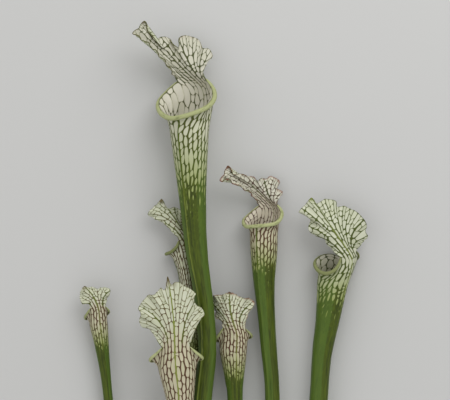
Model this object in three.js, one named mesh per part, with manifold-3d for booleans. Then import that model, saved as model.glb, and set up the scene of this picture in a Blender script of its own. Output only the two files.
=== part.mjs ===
import * as THREE from 'three';
import { mergeVertices } from 'three/addons/utils/BufferGeometryUtils.js';
import Module from 'manifold-3d';

// A white-topped pitcher plant, lifted with its rhizome and laid flat: seven pitcher leaves on
// a creeping stem. Millimetres. The leaves grow towards +Y, the plant lies on z = 0, and +Z is
// the side that is looked at. Positions below are measured from a point under the tall pitcher,
// and the whole plant is moved at the end so that its origin is the middle of its footprint.
const ORIGIN = new THREE.Vector3(14, 45.5, 0);

// How a leaf is made: a thin wall with a keel in front, a midrib behind, and faint ridges along the tube.
const WALL = 0.9;
const KEEL_HEIGHT = 2.0;
const MIDRIB_HEIGHT = 0.5;
const RIDGE_HEIGHT = 0.3;
const NECK_HALF_ANGLE = 60;

// Steps of the leaf's skin. The back of the tube has BACK_STEPS columns, which fork twice up the lid.
const BACK_STEPS = 8;
const TUBE_STEP = 26;
const FLARE_SPAN = 0.03;
const MOUTH_STEPS = 3;
const MOUTH_UPTURN = 0.7;
const NECK_BLEND = 0.2;
const HALF_RIM = [1 / 10, 2 / 10, 3 / 10, 4 / 10, 0.475];
const LID_ROWS = [
  { forks: 1, heights: [0.15, 0.38] },
  { forks: 2, heights: [0.62, 0.84, 1] },
];

// The lip is the rim rolled outwards, by these angles round its roll.
const LIP_ANGLES = [70, 140, 205];
const LIP_TAPER = 0.1;
const LIP_END = 0.35;

// A leaf stands in a socket of its crown, and its foot is solid inside.
const SOCKET_DEPTH = 9;
const SOLID_FOOT = 10.8;
const FIT_GAP = 0.3;

// Each leaf: its tube's axis as [x, y, z, radius], the azimuth of its back (0 faces up, 90 faces
// +X), the rim from the neck's far end round the front to its near end, the middle of the neck
// behind, the lid's margin up both sides to its point, and the way the lid's midrib rises.
const PITCHERS = [
  {
    name: 'tall_pitcher',
    back: 145,
    lip: 1.5,
    axis: [
      [-1, -120, 13, 4.6], [-2.5, -60, 17, 5.4], [-1.7, 0, 19, 6.3], [2, 37, 20.5, 6.2],
      [-0.5, 75, 21.5, 6.2], [-6, 108, 22, 7.3], [-8.4, 139.5, 22, 9], [-9.8, 162, 22, 10.5],
      [-11.5, 199, 22, 14],
    ],
    rim: [
      [-20.3, 238.5, 10], [-28.5, 231, 14], [-34.5, 223, 21], [-32.3, 216, 28], [-24.8, 212, 35],
      [-15.8, 213.4, 38.5], [-5.3, 217, 38], [2.3, 221.3, 34], [6, 227.3, 28], [4.8, 234, 23],
      [0.8, 240, 21],
    ],
    neck: [-5.5, 238, 9],
    nearMargin: [
      [-0.8, 245.5, 17.5], [-0.8, 252, 14], [5.3, 257.3, 15], [3, 263.3, 17], [-1.5, 263.3, 14],
      [-4.1, 269.3, 12], [-12.8, 273, 13], [-18.8, 271.5, 18], [-20.3, 262.5, 21], [-22.5, 265.5, 20],
      [-27.8, 271.5, 18], [-33.8, 271.5, 22], [-36.8, 268.5, 27], [-41.3, 274.5, 32], [-45, 283.5, 35],
    ],
    farMargin: [
      [-22.5, 242.3, 14], [-27.8, 250.5, 22], [-35.3, 259.5, 31], [-42, 266.3, 38], [-48.8, 271, 42],
      [-53.3, 273.8, 42], [-49.5, 278.3, 38], [-45, 283.5, 35],
    ],
    rise: [-20, 17, 3],
  },
  {
    name: 'hidden_pitcher',
    back: 70,
    lip: 0.9,
    axis: [
      [-11, -120, 7.5, 4], [-9.5, -60, 6.8, 4], [-7, 0, 6.6, 4.2], [-8, 40, 6.8, 4.5],
      [-13.4, 91, 8, 4.8], [-16.4, 105, 9.2, 5.6],
    ],
    rim: [
      [-14, 120, 5.5], [-19.5, 115, 2.6], [-26, 111, 4.6], [-28.8, 110.3, 9], [-25, 112, 14],
      [-21.5, 115.5, 16.3], [-19.5, 119.3, 15.5],
    ],
    neck: [-13.3, 121.3, 12],
    nearMargin: [
      [-20.3, 121.5, 15.5], [-24.8, 126.4, 15], [-29.6, 131.3, 13], [-34.9, 135, 12],
      [-40.5, 137.3, 13], [-42.8, 138.8, 14], [-41.5, 141.8, 14], [-36.8, 146.3, 14.5],
      [-32.7, 150.8, 15],
    ],
    farMargin: [
      [-14.3, 122.5, 6], [-12.8, 129, 8], [-13.5, 136.5, 10], [-15.8, 141, 11], [-20.3, 143.6, 11],
      [-24, 144.8, 12], [-28.5, 143.3, 14], [-32.7, 150.8, 15],
    ],
    rise: [-13, 21, 0],
  },
  {
    name: 'front_pitcher',
    back: -4,
    lip: 1.2,
    axis: [
      [-13, -120, 20.5, 4.6], [-17, -60, 27, 6.2], [-18.4, -15, 32, 8.4], [-18.6, 3, 33, 10.2],
      [-20.3, 22, 33.5, 13.4],
    ],
    rim: [
      [-11.3, 40.5, 42], [-7, 36.6, 40], [-2.6, 33, 36.5], [-6.2, 32.4, 30], [-12, 29.5, 22.5],
      [-20.5, 27, 18.5], [-29.4, 29.5, 22.5], [-36, 31.4, 30], [-40.2, 31.5, 36.5],
      [-35.6, 35.6, 40], [-31.5, 40, 42],
    ],
    neck: [-22.3, 41, 47.5],
    nearMargin: [
      [-34.1, 42.8, 43.5], [-36.8, 48, 43], [-41.3, 54, 41], [-46.5, 55.5, 40], [-48.8, 60.8, 42],
      [-47.5, 64.8, 45], [-49.5, 69.8, 43], [-47.5, 72.8, 42], [-42, 79.5, 45], [-38.3, 79.5, 47],
      [-35.3, 81.8, 45], [-32.3, 84.8, 44], [-30, 82.9, 45], [-27.8, 93.3, 44],
    ],
    farMargin: [
      [-10, 45.5, 43], [-8.5, 50, 43.5], [-6.8, 54, 43], [-3.4, 60.8, 41], [0, 64.8, 39],
      [-2.7, 69.8, 38], [-5.3, 71, 40], [-8.3, 76.9, 44], [-6.4, 80.3, 42], [-14.3, 85.5, 42],
      [-21.8, 89.3, 45], [-24.8, 87, 45], [-27.8, 93.3, 44],
    ],
    rise: [-0.3, 28, 1.3],
  },
  {
    name: 'low_pitcher',
    back: 13,
    lip: 1.1,
    axis: [
      [22, -118, 12, 4.2], [23, -60, 12.8, 4.6], [22.5, 0, 14.5, 5.2], [22, 15, 15.3, 6.5],
      [21.6, 27, 15.8, 8.3], [21.2, 36, 15.8, 9.7],
    ],
    rim: [
      [30, 53.3, 22], [33.9, 49, 19], [30.6, 47.8, 12.5], [26.8, 44, 7.2], [20.5, 41.6, 4.8],
      [14.6, 43.6, 7.4], [11.4, 45.9, 12], [8.9, 46.3, 17], [11.3, 50, 20], [13.9, 54, 22.5],
    ],
    neck: [22.9, 53.5, 27],
    nearMargin: [
      [13.5, 56.5, 22], [12.4, 59.3, 20.5], [8.6, 62.3, 16.5], [6.8, 68.3, 13.5], [4.9, 73.5, 12.8],
      [5.3, 77.3, 14], [9, 79.1, 18], [13.5, 79.5, 22], [18.4, 81.4, 23],
    ],
    farMargin: [
      [30.2, 55.5, 22], [30.5, 57.8, 22], [32.3, 65.3, 21], [35.3, 69, 20], [36.8, 73.5, 18],
      [33, 76.9, 21], [28.5, 76.9, 23], [23.3, 79.5, 22.5], [18.4, 81.4, 23],
    ],
    rise: [-5.5, 14, 0.2],
  },
  {
    name: 'middle_pitcher',
    back: 150,
    lip: 1.1,
    axis: [
      [42, -118, 10, 4.2], [47.5, -60, 10.5, 4.5], [50.6, 0, 11.5, 4.9], [47.4, 42, 12, 5.4],
      [45.8, 65, 12.5, 6], [44.3, 88.5, 13, 7.5], [44.1, 111, 13.5, 9.6], [44, 124, 13.5, 10],
    ],
    rim: [
      [40.9, 145.5, 6.5], [34.5, 140.3, 9], [29.5, 135, 14], [31.3, 131, 19.5], [37.5, 131.3, 24],
      [45.8, 132, 25.5], [52.5, 133.5, 23], [56.4, 138.4, 18], [56.2, 142.5, 14], [54, 145.9, 12],
    ],
    neck: [50, 146, 5],
    nearMargin: [
      [54.5, 148.5, 11], [55.2, 150.8, 10], [58.1, 154.5, 10], [57.8, 156.8, 9], [54, 158.3, 8],
      [56.3, 163.5, 10], [53.8, 166, 9], [48.8, 168, 7.5], [45.8, 165.8, 9], [42.8, 166.5, 11],
      [39, 164.3, 14], [37.3, 166.5, 15], [32.3, 168, 16], [26.3, 169.5, 20], [21.8, 169.5, 22],
      [16.8, 175.5, 23],
    ],
    farMargin: [
      [39.5, 148, 8], [34.5, 154.5, 15], [29.3, 158.3, 20], [23.6, 161.3, 24], [18, 164.6, 26],
      [11.3, 165, 27], [13.5, 168.8, 25.5], [16.8, 175.5, 23],
    ],
    rise: [-15, 17, 5],
  },
  {
    name: 'right_pitcher',
    back: 60,
    lip: 1.1,
    axis: [
      [74, -116, 10.5, 4.6], [80, -60, 11, 5.4], [85.1, 0, 12, 6.3], [86, 18, 12.3, 6.1],
      [88.1, 39, 12.8, 7.1], [91.7, 60, 13, 8.5], [95.2, 86, 13.6, 11],
    ],
    rim: [
      [112.3, 111.5, 11], [114.5, 108, 6.5], [107, 104.5, 2.2], [96, 109, 2.9], [87.8, 108.4, 6],
      [82.8, 104.3, 12], [83.9, 99.8, 18], [87.8, 96.3, 23], [93.8, 96.3, 26.5], [98.6, 100.5, 27.5],
      [101.3, 106.9, 26],
    ],
    neck: [108, 109.5, 23],
    nearMargin: [
      [98, 110, 25.5], [95.5, 112, 24], [93, 115.5, 22], [88.5, 121, 20], [84, 124, 19],
      [79.5, 124.5, 20], [77.5, 127.5, 21], [77.8, 132, 20], [79, 136.5, 18], [75, 139.5, 19],
      [69.8, 140.6, 21], [72, 143.6, 21], [76, 147.8, 20.5], [79.5, 151.9, 21],
    ],
    farMargin: [
      [114.8, 113.3, 13], [117.8, 118.5, 14], [122, 122.3, 16], [120, 126.8, 15], [121.3, 130.5, 16],
      [115.5, 139.5, 17], [109.1, 143.3, 15], [104.3, 145.5, 17], [98.3, 145, 20], [98.6, 148.9, 18],
      [90.5, 150.8, 17.5], [86.6, 148.9, 20], [82.5, 147.5, 21.5], [79.5, 151.9, 21],
    ],
    rise: [-15, 22, 5.5],
  },
  {
    name: 'left_pitcher',
    back: 10,
    lip: 0.9,
    axis: [
      [-58, -116, 10, 3.8], [-66, -60, 9.5, 3.4], [-72.3, 0, 9, 3], [-74, 16.5, 9, 3.3],
      [-75.6, 29, 9.1, 3.9], [-77.6, 44, 9.4, 5.1], [-79.3, 55, 9.4, 6.3],
    ],
    rim: [
      [-74.6, 69.8, 14], [-72.7, 67.2, 12], [-74.6, 65, 6.8], [-76.8, 62, 3.4], [-80.5, 60.6, 1.8],
      [-84.6, 62, 3.9], [-89.2, 62.3, 9.5], [-87.6, 65.4, 13], [-85.5, 68.6, 15],
    ],
    neck: [-79.9, 69.8, 17.5],
    nearMargin: [
      [-86.4, 71.3, 15], [-87.8, 73.5, 14.5], [-91, 72.8, 15], [-93.4, 75.8, 15], [-93.8, 79.1, 14],
      [-92.3, 82.5, 14], [-90.4, 85.5, 14],
    ],
    farMargin: [
      [-74.6, 72, 14], [-73.9, 73.8, 14], [-72.8, 76.5, 13], [-71.3, 80.3, 14], [-71.3, 83.3, 14],
      [-75, 85, 15], [-80.7, 83.5, 14.5], [-84, 85.5, 13.5], [-86.6, 84.3, 14.5], [-90.4, 85.5, 14],
    ],
    rise: [-3, 10, 0.7],
  },
];

// The rhizome creeps along X, and its crowns rise from it to the leaves. Its underside is worn flat.
const RHIZOME_PATH = [
  [-66, -129, 8], [-56, -133, 8.4], [-30, -137, 8.8], [-8, -134, 12.3], [20, -137, 9.4], [48, -133, 10.2],
  [72, -134, 9.2], [86, -129, 8],
];
const RHIZOME_RADII = [4.5, 9.5, 10, 13.5, 10.5, 11.5, 10.5, 5];
const RHIZOME_STEPS = 30;
const RHIZOME_SIDES = 10;
const SCAR_PITCH = 10;
const SCAR_DEPTH = 0.06;
const UNDER_BOX = [400, 300, 40];

// A crown swells round each leaf's foot, and pointed scales stand on it.
const CROWN_WALL = 2.2;
const CROWN_SIDES = 12;
const CROWN_DEPTH = 16;
const CROWN_LOWEST = 9;
const CROWN_SWELL = [1.45, 1.4, 1.25, 1];
const SOCKET_EASE = 0.25;
const SOCKET_SIDES = 18;
const SOCKET_REACH = 32;
const SCALES = [
  { azimuth: -62, length: 13, radii: [4.2, 3.8, 0.8] },
  { azimuth: 8, length: 17, radii: [4.4, 4, 0.8] },
  { azimuth: 84, length: 11, radii: [4.2, 3.7, 0.8] },
];
const SCALE_SIDES = 6;
const SCALE_STEPS = 3;

// Roots fan out behind the rhizome and sink to the surface.
const ROOT_COUNT = 16;
const ROOT_SIDES = 4;
const ROOT_STEPS = 6;
const ROOT_RADII = [1.7, 0.6];
const ROOT_LENGTHS = [34, 58];
const ROOT_SPREAD = [0.06, 0.94];
const ROOT_FAN = 80;
const ROOT_STRAY = 30;
const ROOT_WANDER = 9;
const ROOT_BENDS = [0, 0.25, 0.5, 0.75, 1];
const ROOT_SINK = 1.9;
const ROOT_SEED = 11;

const FINISHES = {
  leaf: { color: 0x8fa05c, roughness: 0.5 },
  rhizome: { color: 0x5b4130, roughness: 0.9 },
};

const rad = THREE.MathUtils.degToRad;
const point = ([x, y, z]) => new THREE.Vector3(x, y, z);
const mix = (a, b, t) => a.clone().lerp(b, t);
const smoothCurve = (points) => new THREE.CatmullRomCurve3(points, false, 'centripetal');

// A seeded draw between 0 and 1, the same each run.
function draws(seed) {
  let state = seed;
  return () => {
    state = (state * 1103515245 + 12345) % 2147483648;
    return state / 2147483648;
  };
}

function cubic(a, b, c, d, t) {
  const s = 1 - t;
  return new THREE.Vector3()
    .addScaledVector(a, s * s * s)
    .addScaledVector(b, 3 * s * s * t)
    .addScaledVector(c, 3 * s * t * t)
    .addScaledVector(d, t * t * t);
}

function quadratic(a, b, c, t) {
  const s = 1 - t;
  return new THREE.Vector3()
    .addScaledVector(a, s * s)
    .addScaledVector(b, 2 * s * t)
    .addScaledVector(c, t * t);
}

// The tube: a smooth axis with a radius along it, and a frame across it.
class Tube {
  constructor(axis) {
    this.line = new THREE.CatmullRomCurve3(axis.map(point), false, 'catmullrom', 0.5);
    this.radii = new THREE.CatmullRomCurve3(
      axis.map((p) => new THREE.Vector3(p[3], 0, 0)), false, 'catmullrom', 0.5);
  }

  frame(t) {
    const along = this.line.getTangent(t);
    const right = new THREE.Vector3().crossVectors(along, new THREE.Vector3(0, 0, 1)).normalize();
    const up = new THREE.Vector3().crossVectors(right, along).normalize();
    const [ahead, behind] = [Math.min(1, t + FLARE_SPAN), Math.max(0, t - FLARE_SPAN)];
    const run = this.line.getPoint(ahead).distanceTo(this.line.getPoint(behind));
    const flare = (this.radii.getPoint(ahead).x - this.radii.getPoint(behind).x) / run;
    return { centre: this.line.getPoint(t), radius: this.radii.getPoint(t).x, flare, along, right, up };
  }

  // The point of the tube at an azimuth in degrees, 0 at the side that faces up.
  at(frame, azimuth) {
    return frame.centre.clone()
      .addScaledVector(frame.up, frame.radius * Math.cos(rad(azimuth)))
      .addScaledVector(frame.right, frame.radius * Math.sin(rad(azimuth)));
  }
}

// A skin is one layer of points and triangles, which becomes a wall of even thickness.
class Skin {
  constructor() {
    this.points = [];
    this.raised = [];
    this.faces = [];
    this.outerFaces = [];
    this.innerFaces = [];
  }

  add(position, raised = 0) {
    this.points.push(position);
    this.raised.push(raised);
    return this.points.length - 1;
  }

  quad(a, b, c, d, faces = this.faces) {
    faces.push([a, b, c], [a, c, d]);
  }

  normals() {
    const normals = this.points.map(() => new THREE.Vector3());
    for (const [a, b, c] of [...this.faces, ...this.outerFaces]) {
      const ab = this.points[b].clone().sub(this.points[a]);
      const ac = this.points[c].clone().sub(this.points[a]);
      const cross = ab.cross(ac);
      for (const i of [a, b, c]) normals[i].add(cross);
    }
    return normals.map((n) => n.normalize());
  }

  // The edges of the shared layer that only one face has, in that face's direction.
  openEdges() {
    const edges = new Map();
    for (const [a, b, c] of [...this.faces, ...this.outerFaces]) {
      for (const [i, j] of [[a, b], [b, c], [c, a]]) {
        if (!edges.delete(`${j},${i}`)) edges.set(`${i},${j}`, [i, j]);
      }
    }
    return [...edges.values()];
  }

  wall(thickness) {
    const count = this.points.length;
    const normals = this.normals();
    const positions = new Float32Array(count * 6);
    this.points.forEach((p, i) => {
      const outer = p.clone().addScaledVector(normals[i], thickness / 2 + this.raised[i]);
      const inner = p.clone().addScaledVector(normals[i], -thickness / 2);
      outer.toArray(positions, i * 3);
      inner.toArray(positions, (count + i) * 3);
    });
    const index = [];
    for (const [a, b, c] of [...this.faces, ...this.outerFaces]) index.push(a, b, c);
    for (const [a, b, c] of [...this.faces, ...this.innerFaces]) {
      index.push(count + a, count + c, count + b);
    }
    for (const [i, j] of this.openEdges()) index.push(j, i, count + i, j, count + i, count + j);
    const geometry = new THREE.BufferGeometry();
    geometry.setAttribute('position', new THREE.BufferAttribute(positions, 3));
    geometry.setIndex(index);
    return geometry;
  }
}

// The columns round a tube: across the back from the neck's near end to its far end, then round the front.
const BACK_COLUMNS = Array.from({ length: BACK_STEPS + 1 }, (_, i) => (2 * i) / BACK_STEPS - 1);
const RIM_COLUMNS = [...HALF_RIM, 0.5, ...HALF_RIM.map((f) => 1 - f).reverse()];
const COLUMN_COUNT = BACK_COLUMNS.length + RIM_COLUMNS.length;
const KEEL_COLUMN = BACK_COLUMNS.length + HALF_RIM.length;
const MIDRIB_COLUMN = BACK_STEPS / 2;

function azimuths(back) {
  const behind = BACK_COLUMNS.map((u) => back + u * NECK_HALF_ANGLE);
  const round = RIM_COLUMNS.map((f) => back + NECK_HALF_ANGLE + f * (360 - 2 * NECK_HALF_ANGLE));
  return [...behind, ...round];
}

function relief(column, keel) {
  if (column === KEEL_COLUMN) return keel;
  if (column === MIDRIB_COLUMN) return MIDRIB_HEIGHT;
  return column % 2 === 0 ? 0 : RIDGE_HEIGHT;
}

// The tube from its closed foot up to the ring under the mouth.
function addTube(skin, tube, angles) {
  const steps = Math.round(tube.line.getLength() / TUBE_STEP);
  const footStep = SOLID_FOOT / tube.line.getLength();
  const stations = [0, footStep, ...Array.from({ length: steps }, (_, i) => (i + 1) / steps)];
  const rows = stations.map((t, row) => {
    const frame = tube.frame(t);
    const keel = row < 2 ? 0 : KEEL_HEIGHT;
    return angles.map((azimuth, column) => skin.add(tube.at(frame, azimuth), relief(column, keel)));
  });
  for (let row = 0; row + 1 < rows.length; row += 1) {
    const faces = row === 0 ? skin.outerFaces : skin.faces;
    addBand(skin, rows[row], rows[row + 1], faces);
  }
  addFoot(skin, rows[0], tube.frame(0), skin.outerFaces);
  addFoot(skin, rows[1], tube.frame(footStep), skin.innerFaces);
  return rows[rows.length - 1];
}

function addBand(skin, lower, upper, faces) {
  for (let i = 0; i < COLUMN_COUNT; i += 1) {
    const next = (i + 1) % COLUMN_COUNT;
    skin.quad(lower[i], lower[next], upper[next], upper[i], faces);
  }
}

function addFoot(skin, ring, frame, faces) {
  const centre = skin.add(frame.centre.clone());
  for (let i = 0; i < ring.length; i += 1) faces.push([ring[(i + 1) % ring.length], ring[i], centre]);
}

// The mouth: each column bends from the ring to its own place on the rim or the neck.
function addMouth(skin, tube, ring, angles, plan) {
  const frame = tube.frame(1);
  const edge = [...BACK_COLUMNS.map(plan.neckAt), ...RIM_COLUMNS.map((f) => plan.rimAt(f))];
  const leans = edge.map((end, column) => {
    const outward = tube.at(frame, angles[column]).sub(frame.centre).normalize();
    const flare = outward.addScaledVector(frame.along, MOUTH_UPTURN).normalize();
    if (column < BACK_COLUMNS.length) return plan.riseWay;
    const f = RIM_COLUMNS[column - BACK_COLUMNS.length];
    const nearNeck = 1 - Math.min(1, Math.min(f, 1 - f) / NECK_BLEND);
    return mix(flare, plan.riseWay, nearNeck * nearNeck).normalize();
  });
  let lower = ring;
  for (let step = 1; step <= MOUTH_STEPS; step += 1) {
    const upper = edge.map((end, column) => {
      const start = tube.at(frame, angles[column]);
      const reach = end.distanceTo(start) / 3;
      const widening = start.clone().sub(frame.centre).normalize().multiplyScalar(frame.flare);
      const leave = start.clone().addScaledVector(widening.add(frame.along), reach);
      const arrive = end.clone().addScaledVector(leans[column], -reach);
      const keel = KEEL_HEIGHT * (1 - step / MOUTH_STEPS);
      return skin.add(cubic(start, leave, arrive, end, step / MOUTH_STEPS), relief(column, keel));
    });
    addBand(skin, lower, upper, skin.faces);
    lower = upper;
  }
  return { edge: lower, leans };
}

// The lip: the rim rolls outwards round a small circle, tighter towards both ends of the neck.
function addLip(skin, mouth, plan) {
  const farEnd = BACK_COLUMNS.length - 1;
  const columns = [farEnd, ...RIM_COLUMNS.map((_, i) => farEnd + 1 + i), 0];
  const places = [0, ...RIM_COLUMNS, 1];
  let lower = columns.map((column) => mouth.edge[column]);
  for (const angle of LIP_ANGLES) {
    const upper = columns.map((column, i) => {
      const f = places[i];
      const way = plan.rim.getTangentAt(f);
      const lean = mouth.leans[column];
      const outward = new THREE.Vector3().crossVectors(way, lean).normalize();
      const fullness = Math.min(1, LIP_END + (1 - LIP_END) * Math.min(f, 1 - f) / LIP_TAPER);
      const radius = plan.lip * fullness;
      const end = skin.points[mouth.edge[column]].clone();
      return skin.add(end
        .addScaledVector(lean, radius * Math.sin(rad(angle)))
        .addScaledVector(outward, radius * (1 - Math.cos(rad(angle)))));
    });
    for (let i = 0; i + 1 < columns.length; i += 1) {
      skin.quad(lower[i], lower[i + 1], upper[i + 1], upper[i]);
    }
    lower = upper;
  }
}

// The lid: columns fan out from the neck to the waved margin, and each forks in two where a row says so.
function addLid(skin, mouth, plan) {
  let lower = mouth.edge.slice(0, BACK_COLUMNS.length);
  for (const { forks, heights } of LID_ROWS) {
    const steps = BACK_STEPS * 2 ** forks;
    heights.forEach((height) => {
      const upper = Array.from({ length: steps + 1 }, (_, i) => {
        const u = (2 * i) / steps - 1;
        const vein = i % 2 ** forks === 0 ? RIDGE_HEIGHT : 0;
        return skin.add(plan.lidAt(u, height), i === steps / 2 ? MIDRIB_HEIGHT : vein);
      });
      if (upper.length === lower.length) {
        for (let i = 0; i < steps; i += 1) skin.quad(lower[i], lower[i + 1], upper[i + 1], upper[i]);
      } else {
        addFork(skin, lower, upper);
      }
      lower = upper;
    });
  }
}

function addFork(skin, lower, upper) {
  for (let i = 0; i + 1 < lower.length; i += 1) {
    const [left, middle, right] = [upper[2 * i], upper[2 * i + 1], upper[2 * i + 2]];
    skin.faces.push([lower[i], middle, left]);
    skin.faces.push([lower[i], lower[i + 1], middle]);
    skin.faces.push([lower[i + 1], right, middle]);
  }
}

// The curves that shape a leaf's head.
function headPlan(pitcher) {
  const rim = smoothCurve(pitcher.rim.map(point));
  const near = smoothCurve(pitcher.nearMargin.map(point));
  const far = smoothCurve(pitcher.farMargin.map(point));
  const [farEnd, nearEnd] = [rim.getPoint(0), rim.getPoint(1)];
  const neck = point(pitcher.neck);
  const bow = neck.clone().multiplyScalar(2).sub(mix(nearEnd, farEnd, 0.5));
  const rise = point(pitcher.rise);
  const neckAt = (u) => quadratic(nearEnd, bow, farEnd, (u + 1) / 2);
  const marginAt = (u) => (u <= 0 ? near.getPointAt(u + 1) : far.getPointAt(1 - u));
  const fullLength = marginAt(0).distanceTo(neck);
  const lidAt = (u, height) => {
    const [start, end] = [neckAt(u), marginAt(u)];
    const bend = start.clone().addScaledVector(rise, start.distanceTo(end) / fullLength);
    return quadratic(start, bend, end, height);
  };
  return {
    rim,
    lip: pitcher.lip,
    rimAt: (f) => rim.getPointAt(f),
    neckAt,
    lidAt,
    riseWay: rise.clone().normalize(),
  };
}

function pitcherGeometry(pitcher) {
  const tube = new Tube(pitcher.axis);
  const plan = headPlan(pitcher);
  const angles = azimuths(pitcher.back);
  const skin = new Skin();
  const ring = addTube(skin, tube, angles);
  const mouth = addMouth(skin, tube, ring, angles, plan);
  addLip(skin, mouth, plan);
  addLid(skin, mouth, plan);
  return skin.wall(WALL);
}

const wasm = await Module();
wasm.setup();

function toSolid(geometry) {
  const bare = geometry.clone();
  for (const name of Object.keys(bare.attributes)) if (name !== 'position') bare.deleteAttribute(name);
  const merged = mergeVertices(bare, 1e-4);
  return new wasm.Manifold(new wasm.Mesh({
    numProp: 3,
    vertProperties: new Float32Array(merged.attributes.position.array),
    triVerts: new Uint32Array(merged.index.array),
  }));
}

function toGeometry(solid) {
  const mesh = solid.getMesh();
  const geometry = new THREE.BufferGeometry();
  geometry.setAttribute('position', new THREE.BufferAttribute(new Float32Array(mesh.vertProperties), 3));
  geometry.setIndex(new THREE.BufferAttribute(new Uint32Array(mesh.triVerts), 1));
  return geometry;
}

// A rod of changing radius along a curve, closed by a fan at both ends.
function rod(curve, radiusAt, steps, sides) {
  const skin = new Skin();
  const rings = Array.from({ length: steps + 1 }, (_, i) => {
    const t = i / steps;
    const [centre, along] = [curve.getPointAt(t), curve.getTangentAt(t)];
    const side = new THREE.Vector3().crossVectors(along, new THREE.Vector3(0, 0, 1)).normalize();
    const up = new THREE.Vector3().crossVectors(side, along);
    return Array.from({ length: sides }, (__, j) => {
      const angle = (2 * Math.PI * j) / sides;
      const offset = side.clone().multiplyScalar(Math.sin(angle)).addScaledVector(up, Math.cos(angle));
      return skin.add(centre.clone().addScaledVector(offset, radiusAt(t)));
    });
  });
  for (let i = 0; i < steps; i += 1) {
    for (let j = 0; j < sides; j += 1) {
      const next = (j + 1) % sides;
      skin.quad(rings[i][j], rings[i][next], rings[i + 1][next], rings[i + 1][j]);
    }
  }
  const [first, last] = [skin.add(curve.getPointAt(0)), skin.add(curve.getPointAt(1))];
  for (let j = 0; j < sides; j += 1) {
    const next = (j + 1) % sides;
    skin.faces.push([rings[0][next], rings[0][j], first], [rings[steps][j], rings[steps][next], last]);
  }
  const geometry = new THREE.BufferGeometry();
  const positions = skin.points.flatMap((p) => p.toArray());
  geometry.setAttribute('position', new THREE.Float32BufferAttribute(positions, 3));
  geometry.setIndex(skin.faces.flat());
  return geometry;
}

function interpolate(values, t) {
  const place = t * (values.length - 1);
  const i = Math.min(Math.floor(place), values.length - 2);
  return THREE.MathUtils.lerp(values[i], values[i + 1], place - i);
}

function crownGeometry(foot) {
  const start = foot.centre.clone().addScaledVector(foot.along, -CROWN_DEPTH);
  start.z = Math.max(start.z, CROWN_LOWEST);
  const end = foot.centre.clone().addScaledVector(foot.along, SOCKET_DEPTH);
  const radiusAt = (t) => (foot.radius + CROWN_WALL) * interpolate(CROWN_SWELL, t);
  return rod(smoothCurve([start, mix(start, end, 0.5), end]), radiusAt, CROWN_SWELL.length, CROWN_SIDES);
}

// A scale is a tapering rod beside the leaf's foot, which the socket then hollows out.
function scaleGeometries(foot, back) {
  const beside = foot.radius + WALL / 2 + RIDGE_HEIGHT + FIT_GAP;
  return SCALES.map(({ azimuth, length, radii }) => {
    const turn = rad(back + azimuth);
    const out = foot.up.clone().multiplyScalar(Math.cos(turn)).addScaledVector(foot.right, Math.sin(turn));
    const place = (along, away) => foot.centre.clone()
      .addScaledVector(foot.along, along)
      .addScaledVector(out, away);
    const path = [
      place(0, beside - radii[0] / 2),
      place(SOCKET_DEPTH, beside - radii[1] / 3),
      place(SOCKET_DEPTH + length, beside + radii[2] * 2),
    ];
    return rod(smoothCurve(path), (t) => interpolate(radii, t), SCALE_STEPS, SCALE_SIDES);
  });
}

// The socket follows the leaf past the scales' tips.
function socketGeometry(pitcher) {
  const tube = new Tube(pitcher.axis);
  const [foot, top] = [tube.frame(0), tube.frame(SOCKET_REACH / tube.line.getLength())];
  const start = foot.centre.clone().addScaledVector(foot.along, -WALL / 2 - FIT_GAP);
  const ease = WALL / 2 + RIDGE_HEIGHT + FIT_GAP + SOCKET_EASE;
  const radiusAt = (t) => THREE.MathUtils.lerp(foot.radius, top.radius, t) + ease;
  return rod(new THREE.LineCurve3(start, top.centre), radiusAt, 1, SOCKET_SIDES);
}

// Roots leave the rhizome's back and sides, sink to the surface and wander along it.
function rootGeometries(body) {
  const draw = draws(ROOT_SEED);
  const lowest = ROOT_RADII[1] + FIT_GAP;
  return Array.from({ length: ROOT_COUNT }, (_, i) => {
    const start = body.getPointAt(THREE.MathUtils.lerp(...ROOT_SPREAD, (i + 0.5 * draw()) / ROOT_COUNT));
    const length = THREE.MathUtils.lerp(...ROOT_LENGTHS, draw());
    const heading = rad(-90 + (i / (ROOT_COUNT - 1) - 0.5) * ROOT_FAN + (draw() - 0.5) * ROOT_STRAY);
    const way = new THREE.Vector3(Math.cos(heading), Math.sin(heading), 0);
    const side = new THREE.Vector3(-way.y, way.x, 0);
    const bends = ROOT_BENDS.map((t) => {
      const p = start.clone().addScaledVector(way, 2 * ROOT_RADII[0] + t * length);
      p.addScaledVector(side, (draw() - 0.5) * ROOT_WANDER * Math.min(1, 2 * t));
      p.z = THREE.MathUtils.lerp(start.z - ROOT_RADII[0] * draw(), lowest, Math.min(1, t * ROOT_SINK));
      return p;
    });
    const radiusAt = (t) => THREE.MathUtils.lerp(...ROOT_RADII, t);
    return rod(smoothCurve(bends), radiusAt, ROOT_STEPS, ROOT_SIDES);
  });
}

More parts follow.
